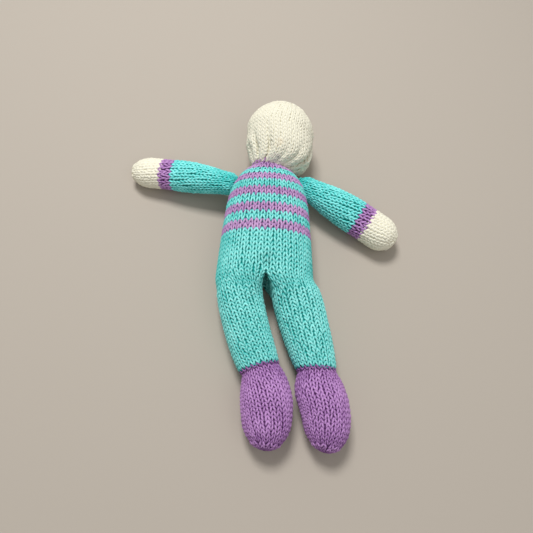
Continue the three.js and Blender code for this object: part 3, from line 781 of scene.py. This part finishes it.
def hips_surface(side):
    """The surface of one leg and its half of the body, as a function of the stitch of the leg and
    of the distance down from the hip line. Stitch 0 is the front middle, then come the stitches
    down the outside and across the back, and those between the legs come last."""
    out = -1 if side == "left" else 1

    def surface(w, s):
        w, s = np.broadcast_arrays(np.mod(w, LEG_STITCHES), s)
        leg_angle = (INNER_STITCHES / 2 + w) * 2 * np.pi / LEG_STITCHES
        leg_angle = leg_angle + LEG_TWIST[side] * s / LEG_MM
        leg_x, leg_y, leg_z = leg_ring(side, s, leg_angle if side == "left" else np.pi - leg_angle)
        x, z = body_ring(-s, np.pi / 2 + np.clip(w / HALF, 0, 1) * np.pi)
        back, front = (body_ring(-s, turn * np.pi)[1] for turn in (1.5, 0.5))
        between = np.clip((w - HALF) / INNER_STITCHES, 0, 1)
        x = np.where(w > HALF, 0.0, -out * x)
        z = np.where(w > HALF, back + (front - back) * between, z)
        quick = ease(s / QUICK_MM)
        slow = ease(s / SLOW_MM)
        y = -s * (1 - slow) + leg_y * slow + CROTCH_MM * np.sin(np.pi * between) * (1 - quick)
        points = [x * (1 - quick) + leg_x * quick, y, lying(z * (1 - slow) + leg_z * slow)]
        return np.stack(points, -1)

    return surface


print(f"the legs have parted {QUICK_MM:.0f} mm below the hip line")

# %% The body's and the legs' surfaces
ARM_SOCKET = 12.8  # radius of the hollow that an arm presses into its shoulder
SOCKET_SOFT = 0.8
SOCKET_REACH = 30.0


def pressed_by_arms(points):
    """The arms press a hollow into each shoulder: a point closer to the middle of a shoulder than
    the hollow's radius moves straight away from it, out to that radius."""
    for middle in SHOULDERS.values():
        away = points - middle
        distance = np.linalg.norm(away, axis=-1, keepdims=True)
        past = np.log1p(np.exp((distance - ARM_SOCKET) / SOCKET_SOFT)) * SOCKET_SOFT
        wanted = np.where(distance < SOCKET_REACH, ARM_SOCKET + past, distance)
        points = middle + away / np.maximum(distance, 1e-6) * wanted
    return points


def body_surface(u, r):
    """The body's surface at u of a turn and row r. It starts at the front middle, runs down the
    left side, across the back and up the right side."""
    w = np.mod(u, 1) * BODY_STITCHES
    y = body_place(r)
    left = hips_surface("left")(np.minimum(w, HALF), -y)
    right = hips_surface("right")(np.minimum(BODY_STITCHES - w, HALF), -y)
    return pressed_by_arms(np.where((w <= HALF)[..., None], left, right))


def leg_surface(side):
    """The surface of a leg by turn and row, from the hem up to the hip line."""
    whole = hips_surface(side)
    return lambda u, r: whole(u * LEG_STITCHES, HEM_MM * (1 - np.asarray(r, float) / LEG_ROWS))


print("front of the belly, in mm:", body_surface(np.array([0.0]), np.array([4.0]))[0].round(1))

# %% [markdown]
# ## Knitting the body
# The trunk is plain. Above it lilac and turquoise take turns, two rows each, up to the lilac
# collar. Each stripe is a piece of its own, whose loops hang in those of the stripe below.

# %% The trunk and the stripes
trunk_parts = [(BODY_STITCHES, range(0, TRUNK_ROWS))]
trunk = knit("trunk_knit", body_surface, trunk_parts, COLOURS["turquoise"], 11)
finish_piece(trunk, "torso", "turquoise_yarn", "trunk_cover")
for number in range(STRIPES):
    yarn_name = "lilac" if number % 2 == 0 else "turquoise"
    node = "collar" if number == STRIPES - 1 else f"stripe_{number + 1}_{yarn_name}"
    first = TRUNK_ROWS + number * STRIPE_ROWS
    parts = [(STRIPE_STITCHES[number], range(first, first + STRIPE_ROWS))]
    stripe = knit(f"{node}_knit", body_surface, parts, COLOURS[yarn_name], 20 + number)
    finish_piece(stripe, "torso", f"{yarn_name}_yarn", node)

# %% [markdown]
# ## Knitting the legs
# The hip has no seam: the cloth itself bends, from the hip line to 34 mm further on. A leg's
# piece is fixed in the frame and follows neither the torso nor the leg.

# %% The legs
BEND_MM = 34.0  # length of the cloth that bends at the hip


def hip_bend(side):
    """The two bodies that share the cloth of a hip, and where it starts and stops to bend."""
    hinge = joint_mm(f"{side}_hip_lift") / 1000
    return "torso", f"{side}_leg", tuple(hinge), (hinge[0], hinge[1] - BEND_MM / 1000, hinge[2])


for side in BOTH:
    parts = [
        (LOWER_STITCHES, range(0, LEG_ROWS - THIGH_ROWS)),
        (LEG_STITCHES, range(LEG_ROWS - THIGH_ROWS, LEG_ROWS)),
    ]
    leg = knit(f"{side}_leg_knit", leg_surface(side), parts, COLOURS["turquoise"], 40 + len(side))
    finish_piece(leg, None, "turquoise_yarn", f"{side}_leg_cover", blend=hip_bend(side))

# %% [markdown]
# ## The head
# The head is a bag of cream wool. Its cloth is a tube whose upper end is drawn up at the crown
# and whose lower end is gathered into the collar, where the gathers lie as soft pleats. The
# stuffing makes it hang out over the collar, so its lower half is fuller than a ball.

# %% The head's outline
HEAD_STITCHES = 46
HEAD_ROWS = 28
CROWN_ROWS = 5
HEAD_RADIUS = 30.2
HEAD_TILT = math.radians(13)
HEAD_DISTANCE = 37.5  # from the neck to the middle of the head
HEAD_HEIGHT = 29.7
CHIN_REACH = 38.5
NECK_MM = 10.6
HEAD_SAG = 0.32  # the stuffing has sunk to the right by this share of the way down
CHEEK_MM = 4.0  # and the left cheek hangs out over the shoulder by this much
CREASES = [  # place at the neck and drift, in degrees, width, depth and height
    (158, 0.3, 6, 0.16, 20), (136, 0.3, 5, 0.30, 26), (112, 0.1, 5, 0.26, 30), (80, 0.0, 6, 0.08, 20),
    (62, -0.4, 6, 0.14, 24), (42, -0.9, 6, 0.28, 32), (20, -0.8, 6, 0.22, 26), (-12, 0.0, 9, 0.2, 24),
    (-45, 0.0, 10, 0.2, 24), (-80, 0.0, 9, 0.16, 24), (-115, 0.0, 10, 0.2, 24), (-150, 0.0, 9, 0.18, 24),
]


def own_axes(direction, side_hint):
    """Three directions square to each other: the first across, the second along the direction."""
    along = unit(np.asarray(direction, float))
    third = unit(np.cross(np.asarray(side_hint, float), along))
    return np.stack([np.cross(along, third), along, third])


head_rise = math.asin((HEAD_HEIGHT - NECK[2]) / HEAD_DISTANCE)
head_axes = own_axes([math.sin(HEAD_TILT), math.cos(HEAD_TILT), math.tan(head_rise)], [1, 0, 0])


def head_profile(s):
    """Radius at the distance s from the middle of the neck along the head's axis. The upper half
    is a ball: R^2 = r^2 + d^2. The lower half is a fuller curve, (r/R)^2.4 + (d/C)^2.4 = 1, and
    the neck is the smooth larger of it and the neck's own radius."""
    d = np.asarray(s, float) - HEAD_DISTANCE
    radius = HEAD_RADIUS - COVER_MM
    above = np.sqrt(np.maximum(radius**2 - d**2, 0.01))
    below = radius * np.maximum(1 - np.abs(d / CHIN_REACH) ** 2.4, 1e-4) ** (1 / 2.4)
    gathered = np.logaddexp(below / 1.2, (NECK_MM - COVER_MM) / 1.2) * 1.2
    return np.where(d > 0, above, gathered)


head_top = HEAD_DISTANCE + HEAD_RADIUS - COVER_MM
head_place = by_length(head_profile, -3.0, head_top - 0.4, HEAD_ROWS)


print(f"head: {2 * HEAD_RADIUS:.0f} mm through, its top {head_top:.1f} mm from the neck")

# %% The head's surface
def head_surface(u, r):
    """A point of the head: its middle line plus radius times (across cos q + third sin q), with
    creases towards the neck, the crown drawn in, the lower half sunk to one side and a cheek on
    the other, and pushed flat by the floor."""
    u, r = np.broadcast_arrays(u, r)
    s = head_place(r)
    q = 2 * np.pi * u
    crease = 0
    for place, drift, width, share, height in CREASES:
        apart = (np.degrees(q) - place - drift * s + 180) % 360 - 180
        crease = crease + share * np.exp(-((apart / width) ** 2)) * ease(1.2 - s / height)
    radius = head_profile(s) * (1.02 - crease)
    pull = ease((s - head_top + 3.0) / 3.0) * 2.0
    below = np.maximum(HEAD_DISTANCE - s, 0)
    sag = HEAD_SAG * below * ease((HEAD_DISTANCE - below) / 18)
    sag = sag - CHEEK_MM * np.exp(-(((s - 17) / 9) ** 2)) * np.clip(-np.cos(q), 0, 1)
    offset = np.stack([radius * np.cos(q) + sag, s - pull, radius * np.sin(q)], -1)
    points = NECK + offset @ head_axes
    points[..., 2] = lying(points[..., 2])
    return points


print("crown of the head, in mm:", head_surface(0.0, float(HEAD_ROWS)).round(1))

# %% [markdown]
# ## Knitting the head
# Towards the crown the rows have half and then a quarter of the stitches, as a knitter decreases
# them. The yarn is thicker than on the body, because this cloth is closer and fluffier. Its tones
# are a trace darker than on the hands, a shaded copy of the same cream wool, which is painted shade
# and brings both close to the photograph.

# %% The head
# painted shade: the head's cream is the hands' cream made a trace darker
HEAD_SHADE = 0.965
head_shaded_tones = [tuple(HEAD_SHADE * value for value in tone) for tone in YARNS["cream"]]
head_wool = yarn_material("head_wool", *head_shaded_tones, marks=HEAD_MARKS)
parts = [
    (HEAD_STITCHES, range(0, HEAD_ROWS - CROWN_ROWS)),
    (HEAD_STITCHES // 2, range(HEAD_ROWS - CROWN_ROWS, HEAD_ROWS - 1)),
    (HEAD_STITCHES // 4, range(HEAD_ROWS - 1, HEAD_ROWS)),
]
head = knit("head_knit", head_surface, parts, [head_wool, COLOURS["cream"][1]], 60, thick=1.35)
nod = joint_mm("neck_nod") / 1000
nod_bend = ("neck", "head", tuple(nod), tuple(nod + head_axes[1] * 0.02))
finish_piece(head, None, "cream_yarn", "head_cover", blend=nod_bend)

# %% [markdown]
# ## The arms
# Each arm is one tube in three colours. Its upper end is drawn up and sewn into the hollow of the
# shoulder, so it starts as a small ball. The lower end of the arm rounds in to the drawn-up tip
# of a mitten hand, which has no fingers.

# %% The arms' surface
ARM_STITCHES = 16
ARM_MM = 89.5
SLEEVE_MM = 50.0
CUFF_MM = 11.5
ARM_ROOT = 10.6
ARM_PLACES = [0, 4, 14, 38, 61.5, ARM_MM]
ARM_WIDE = [10.6, 10.8, 12.2, 14.6, 14.3, 14.6]
ARM_FULLNESS = {"left": 0.95, "right": 1.11}
ARM_FLATNESS = 0.93
HAND_ROUND_MM = 19.0
ARM_TWIST = {"left": 0.5, "right": 0.7}  # turn of the stitches along a sleeve, in radians
ARM_LINES = {"left": bent_line([0, 80], (-4, 4)), "right": bent_line([0, ARM_MM], (0, -9))}
SHORT_OF_TIP_MM = 0.02  # the last row stops just short of the point, where a ring has no size


def arm_profile(s):
    """Half the width of an arm at the distance s from the shoulder, as root_and_tip gives it."""
    s = np.asarray(s, float)
    return root_and_tip(s, ARM_ROOT, smooth(s, ARM_PLACES, ARM_WIDE), ARM_MM, HAND_ROUND_MM, 2.3)


def arm_axes(side):
    """Across, along and up for an arm that starts at the shoulder and droops until the hand lies
    on the floor: sin droop = (shoulder height - hand height) / length."""
    hand_height = ARM_WIDE[-1] * ARM_FULLNESS[side] * ARM_FLATNESS - 0.5
    droop = math.asin((SHOULDERS[side][2] - hand_height) / (ARM_MM - 16))
    across = np.array(JOINTS[f"{side}_shoulder_lift"]["axis"], float)
    flat = np.cross([0, 0, 1], across)
    along = flat * math.cos(droop) - np.array([0, 0, math.sin(droop)])
    return np.stack([across, along, np.cross(across, along)])


def arm_surface(side, place):
    """An arm's surface as a function of turn and row: rings round a bent middle line."""
    fullness = ARM_FULLNESS[side]
    axes = arm_axes(side)

    def surface(u, r):
        u, r = np.broadcast_arrays(u, r)
        s = np.minimum(place(r), ARM_MM - SHORT_OF_TIP_MM)
        x, y, turn = ARM_LINES[side](s)
        sleeve_share = np.clip(s / SLEEVE_MM, 0, 1)
        radius = arm_profile(s) * (1 + (fullness - 1) * sleeve_share)
        flatness = 1 - (1 - ARM_FLATNESS) * sleeve_share
        q = 2 * np.pi * u + ARM_TWIST[side] * s / SLEEVE_MM
        side_step = radius * np.cos(q)
        upward = radius * flatness * np.sin(q)
        local = np.stack([x + side_step * np.cos(turn), y + side_step * np.sin(turn), upward], -1)
        points = SHOULDERS[side] + local @ axes
        points[..., 2] = lying(points[..., 2])
        return points

    return surface


print(f"arms: {ARM_STITCHES} stitches round, {ARM_MM:.1f} mm long")

# %% [markdown]
# ## Knitting the arms
# Sleeve, cuff and hand follow each other on one form, each in its own yarn. The hand's yarn is
# fluffy, so its loops are thick and close, and its cloth looks almost smooth.

# %% The arms
SLEEVE_ROWS = 18
CUFF_ROWS = 3
HAND_ROWS = 10
sleeve_place = by_length(arm_profile, -ARM_ROOT + 1.2, SLEEVE_MM, SLEEVE_ROWS)
cuff_place = by_length(arm_profile, SLEEVE_MM, SLEEVE_MM + CUFF_MM, CUFF_ROWS)
hand_place = by_length(arm_profile, SLEEVE_MM + CUFF_MM, ARM_MM - 0.5, HAND_ROWS)
HAND_PARTS = [
    (ARM_STITCHES, range(0, HAND_ROWS - 2)),
    (ARM_STITCHES // 2, range(HAND_ROWS - 2, HAND_ROWS)),
]
ARM_PARTS = [  # name, yarn, places of the rows, stitches and rows, thickness and ridge
    ("sleeve", "sleeve", sleeve_place, [(ARM_STITCHES, range(0, SLEEVE_ROWS))], 1.05, 0.2),
    ("cuff", "purple", cuff_place, [(ARM_STITCHES, range(0, CUFF_ROWS))], 1.05, 0.2),
    ("hand", "cream", hand_place, HAND_PARTS, 1.6, 0.1),
]
for number, side in enumerate(BOTH):
    for step, (part_name, yarn_name, place, parts, thick, ridge) in enumerate(ARM_PARTS):
        seed = 70 + 10 * step + number
        name = f"{side}_{part_name}_knit"
        piece = knit(name, arm_surface(side, place), parts, COLOURS[yarn_name], seed, thick, ridge)
        finish_piece(piece, f"{side}_arm", f"{yarn_name}_yarn", f"{side}_{part_name}")

# %% [markdown]
# ## The feet
# A foot is a purple bag, closed at the toe. Its upper end is tucked into the hem of the leg and
# sewn there, so it starts as part of a ball that can turn in the hem. Both feet first lean as
# the legs do and then bend back.

# %% The feet's surface
FOOT_STITCHES = 24
FOOT_MM = 60.0
FOOT_ROWS = 24
FOOT_ROOT = 14.6
FOOT_PLACES = [0, 4, 9, 24, 39.5, FOOT_MM]
FOOT_WIDE = {
    "left": [14.8, 16.2, 17.8, 20.0, 19.2, 17.0],
    "right": [14.8, 16.5, 18.3, 19.1, 18.2, 16.4],
}
FOOT_DEEP = [14.4, 15.2, 16.2, 18.6, 17.7, 15.8]
FOOT_MIDDLE = [17.0, 17.0, 17.0, 18.2, 17.2, 16.6]  # height of the middle line
FOOT_ROUND_MM = 25.0
FOOT_TURNS = {"left": (17, 8, -7), "right": (7, 20, -14)}
FOOT_TWIST = {"left": -0.56, "right": 0.0}
FOOT_LINES = {side: bent_line([6, 20, FOOT_MM], FOOT_TURNS[side]) for side in FOOT_TURNS}


def foot_size(s, sizes):
    """Half a width or depth of a foot at the distance s from the ankle, as root_and_tip gives it."""
    s = np.asarray(s, float)
    return root_and_tip(s, FOOT_ROOT, smooth(s, FOOT_PLACES, sizes), FOOT_MM, FOOT_ROUND_MM, 2.8)


foot_place = by_length(lambda s: foot_size(s, FOOT_DEEP), -8.0, FOOT_MM - 0.5, FOOT_ROWS)


def foot_surface(side):
    """A foot's surface: rings round a bent line from the ankle to the toe."""

    def surface(u, r):
        u, r = np.broadcast_arrays(u, r)
        s = np.minimum(foot_place(r), FOOT_MM - SHORT_OF_TIP_MM)
        x, y, heading = FOOT_LINES[side](s)
        q = 2 * np.pi * u + FOOT_TWIST[side] * s / FOOT_MM
        across = foot_size(s, FOOT_WIDE[side]) * np.cos(q)
        height = smooth(s, FOOT_PLACES, FOOT_MIDDLE) + foot_size(s, FOOT_DEEP) * np.sin(q)
        flat_x = ANKLES[side][0] - x + across * np.cos(heading)
        flat_y = ANKLES[side][1] - y + across * np.sin(heading)
        return np.stack([flat_x, flat_y, lying(height)], -1)

    return surface


print(f"feet: {FOOT_STITCHES} stitches round, {FOOT_MM:.0f} mm long")

# %% The feet
for number, side in enumerate(BOTH):
    parts = [
        (FOOT_STITCHES, range(0, FOOT_ROWS - 3)),
        (FOOT_STITCHES // 2, range(FOOT_ROWS - 3, FOOT_ROWS)),
    ]
    foot = knit(f"{side}_foot_knit", foot_surface(side), parts, COLOURS["purple"], 110 + number)
    finish_piece(foot, f"{side}_foot", "purple_yarn", f"{side}_foot_cover")

# %% [markdown]
# ## Sewing yarn
# The pieces are sewn to each other with lengths of the same yarns. A line of stitches over an
# edge is a coil that runs round it, and the ends of the bags are drawn up on a ring of yarn.

# %% Lengths of yarn
def sewn(name, path, outward, radius, yarn_name, body, node):
    """A closed length of yarn along a path, as one piece with the body that it moves with."""
    points = tube(path, outward, np.full(len(path), radius))
    depth = np.full((len(path), TUBE_SIDES), 0.75)
    length = np.linalg.norm(np.diff(path, axis=0), axis=-1).sum()
    strips = max(1, round(math.sqrt(length / 6)))
    grid = yarn_grid(points, depth, length, 0, strips, 0.98 / strips)
    piece = build(name, [grid], COLOURS[yarn_name][:1])
    finish_piece(piece, body, f"{yarn_name}_yarn", node, fill=None)
    print(f"{name}: {length:.0f} mm of yarn, {len(piece.data.polygons) * 2} triangles")


def coil(ring, stitches, along, swing, lift):
    """A coil round an edge. ring is the edge as a function of the turn, and every stitch goes
    once round it: ring + along swing cos(n q) + outward lift sin(n q)."""
    u = np.arange(stitches * 16) / (stitches * 16)
    edge = ring(u)
    outward = unit(edge - edge.mean(axis=0))
    q = 2 * np.pi * stitches * u[:, None]
    path = edge + along * swing * np.cos(q) + outward * lift * np.sin(q)
    return path, unit(np.cross(along, outward))


def small_ring(middle, axes, radius, u=np.arange(48) / 48):
    """A ring of yarn square to the second of three axes, at the turns u."""
    q = 2 * np.pi * u
    outward = np.cos(q)[:, None] * axes[0] + np.sin(q)[:, None] * axes[2]
    return middle + radius * outward, outward

# %% [markdown]
# ## Seams and drawn-up ends
# Purple stitches hold each foot in its hem, and lilac ones draw the collar in round the neck. At
# the shoulder a line of stitches waves round the small ball that the sleeve starts as.

# %% Seams and drawn-up ends
HEM_STITCHES = 20
NECK_STITCHES = 21
SHOULDER_WAVES = 10
SHOULDER_SEAM_MM = 11.0  # from the middle of the shoulder to the seam
PAST_HEM_MM = 1.3
TIP_INSET_MM = 1.2  # the ring of a hand or toe lies this far inside its end
CROWN_INSET_MM = 2.8


def hem_edge(side):
    """The edge of a hem as a function of the turn: the leg's outline a little past its last row."""

    def edge(u):
        return np.stack(leg_ring(side, np.full_like(u, HEM_MM + PAST_HEM_MM), 2 * np.pi * u), -1)

    return edge


def neck_edge(u):
    """The gathered neck as a function of the turn: a circle of 16 mm, a little narrower across."""
    return small_ring(NECK + [0, 2.2, 0.3], np.diag([0.93, 1, 1]), 16.0, u)[0]


for side in BOTH:
    axis = np.array(JOINTS[f"{side}_ankle_turn"]["axis"], float)
    path, outward = coil(hem_edge(side), HEM_STITCHES, axis, 1.2, 0.6)
    sewn(f"{side}_ankle_stitches", path, outward, 0.6, "purple", f"{side}_ankle", f"{side}_ankle_seam")

    axes = arm_axes(side)
    q = 2 * np.pi * np.arange(160) / 160
    polar = np.radians(20 + 9 * np.sin(SHOULDER_WAVES * q))[:, None]
    spoke = np.cos(q)[:, None] * axes[0] + np.sin(q)[:, None] * axes[2]
    outward = np.sin(polar) * spoke - np.cos(polar) * axes[1]
    path = SHOULDERS[side] + SHOULDER_SEAM_MM * outward
    sewn(f"{side}_shoulder_stitches", path, outward, 0.6, "sleeve", f"{side}_shoulder",
         f"{side}_shoulder_seam")

    x, y, turn = ARM_LINES[side](ARM_MM)
    tip = SHOULDERS[side] + np.array([x, y, 0]) @ axes - axes[1] * TIP_INSET_MM
    sewn(f"{side}_hand_ring", *small_ring(tip, axes, 1.5), 0.85, "cream", f"{side}_arm",
         f"{side}_hand_yarn")

    x, y, heading = FOOT_LINES[side](FOOT_MM)
    along = np.array([math.sin(heading), -math.cos(heading), 0])
    toe = np.array([ANKLES[side][0] - x, ANKLES[side][1] - y, FOOT_MIDDLE[-1]]) - along * TIP_INSET_MM
    sewn(f"{side}_toe_ring", *small_ring(toe, own_axes(along, [0, 0, 1]), 1.8), 0.9, "purple",
         f"{side}_foot", f"{side}_toe_yarn")

crown = NECK + head_axes[1] * (head_top - CROWN_INSET_MM)
sewn("crown_ring", *small_ring(crown, head_axes, 1.8), 0.9, "cream", "head", "crown_yarn")
path, outward = coil(neck_edge, NECK_STITCHES, np.array([0.0, 1.0, 0.0]), 2.0, 0.8)
sewn("neck_stitches", path, outward, 0.55, "lilac", "neck", "neck_yarn")

# %% [markdown]
# ## The stuffing
# Every limb has its own handful of white fibre. It isn't seen, but it is there when the cloth is
# taken off, so it is modelled as what it is: a lumpy ball, a little smaller than its cover.

# %% The fibre
def fibre_material():
    """White fibre: rough, with fine noise for the fibres and broad noise for the lumps."""
    values = {"Roughness": 0.95, "Sheen Weight": 0.4}
    material, tree, shader = new_material("stuffing_fibre", values)
    place = noisy_colour(tree, shader, ((0.84, 0.84, 0.82), (0.95, 0.95, 0.94)), 260, 4)
    bumped(tree, shader, noise(tree, place, 900, 5), 1.0, 0.0006)
    return material


FIBRE = fibre_material()
print("material:", FIBRE.name)

# %% The form of a filling
INSET_MM = 3.9  # from the middle of the cloth to the stuffing
LUMP_MM = 0.18
FILLING_AROUND = 48
FILLING_ALONG = 41


def close_poles(piece):
    """Joins the points of a ring that has shrunk to nothing, and turns the faces outward."""
    work = bmesh.new()
    work.from_mesh(piece.data)
    bmesh.ops.remove_doubles(work, verts=work.verts, dist=1e-6)
    bmesh.ops.recalc_face_normals(work, faces=work.faces)
    work.to_mesh(piece.data)
    work.free()


def filling(name, surface, first, last, cap, body, node, seed, blend=None):
    """A lumpy closed form inside a surface, from the first row to the last. Each ring is drawn
    towards its own middle by the inset and by lumps, and the rings near both ends shrink as on a
    ball: share = sqrt(1 - (1 - x / cap)^2), where x is how far the ring is from the end."""
    chance = np.random.default_rng(seed)
    along = np.linspace(0, 1, FILLING_ALONG)
    u, x = np.meshgrid(np.arange(FILLING_AROUND) / FILLING_AROUND, along, indexing="ij")
    ring = surface(u, first + (last - first) * x)
    middle = ring.mean(axis=0, keepdims=True)
    away = ring - middle
    distance = np.linalg.norm(away, axis=-1, keepdims=True)
    q = 2 * np.pi * u[..., None]
    waves_round = chance.integers(2, 7, 8)
    waves_along = chance.integers(1, 6, 8)
    lumps = np.sin(q * waves_round + 2 * np.pi * (x[..., None] * waves_along + chance.random(8)))
    thinner = INSET_MM + LUMP_MM * lumps.sum(axis=-1, keepdims=True)
    end = np.clip(np.minimum(x, 1 - x) / cap, 0, 1)[..., None]
    share = np.maximum(1 - thinner / distance, 0.1) * np.sqrt(1 - (1 - end) ** 2)

    def flat(i, j):
        return i / FILLING_AROUND, j / (FILLING_ALONG - 1)

    grid = dict(points=middle + away * share, depth=0.5, wrap=(True, False), yarn=flat, paint=flat,
                material=0)
    piece = build(name, [grid], [FIBRE])
    close_poles(piece)
    finish_piece(piece, body, "stuffing", node, fill=0.8, blend=blend)
    print(f"{name}: {len(piece.data.polygons)} faces")

# %% The fillings
filling("body_filling", body_surface, 0.8, TRUNK_ROWS + STRIPES * STRIPE_ROWS - 0.6, 0.3, "torso",
        "body_stuffing", 1)
filling("head_filling", head_surface, 4.5, HEAD_ROWS - 1.0, 0.25, "head", "head_stuffing", 2)
arm_place = by_length(arm_profile, -ARM_ROOT + 1.2, ARM_MM - 0.5, 28)
for side in BOTH:
    filling(f"{side}_arm_filling", arm_surface(side, arm_place), 1.0, 27.4, 0.16, f"{side}_arm",
            f"{side}_arm_stuffing", 3)
    filling(f"{side}_leg_filling", leg_surface(side), 4.0, LEG_ROWS - 4.0, 0.25, None,
            f"{side}_leg_stuffing", 4, blend=hip_bend(side))
    filling(f"{side}_foot_filling", foot_surface(side), 2.0, FOOT_ROWS - 0.6, 0.22, f"{side}_foot",
            f"{side}_foot_stuffing", 5)

# %% [markdown]
# ## Floor and light
# The doll lies on a plain pale floor. The photograph's shadows fall towards the feet and to the
# right, so a soft lamp stands high beyond the head and to the left. A wide, weak lamp over the
# feet and an even light from all round fill the shadows.

# %% Floor and light
floor_mesh = bpy.data.meshes.new("floor")
floor_mesh.from_pydata([(-3, -3, 0), (3, -3, 0), (3, 3, 0), (-3, 3, 0)], [], [(0, 1, 2, 3)])
floor = bpy.data.objects.new("floor", floor_mesh)
scene.collection.objects.link(floor)
floor_values = {"Base Color": shade((0.69, 0.655, 0.61)), "Roughness": 0.9}
floor_mesh.materials.append(new_material("pale_floor", floor_values)[0])


def lamp(name, place, size, power, aim=(0, 0, 0.03)):
    """A square soft lamp at a place, turned to face the aim."""
    light = bpy.data.lights.new(name, "AREA")
    light.size = size
    light.energy = power
    back = unit(np.array(place) - np.array(aim))
    across = unit(np.cross([0, 1, 0.01], back))
    put(bpy.data.objects.new(name, light), across, np.cross(back, across), back, place)
    print(f"{name}: {power} W, {size} m wide")


lamp("key_lamp", (-0.22, 0.55, 1.2), 0.38, 14.5)
lamp("fill_lamp", (0.3, -0.5, 1.1), 1.0, 3.0)
world = bpy.data.worlds.new("studio")
scene.world = world
world.use_nodes = True
sky = world.node_tree.nodes["Background"]
sky.inputs["Color"].default_value = (1.0, 0.99, 0.97, 1.0)
sky.inputs["Strength"].default_value = 0.35
scene.view_settings.view_transform = "Standard"
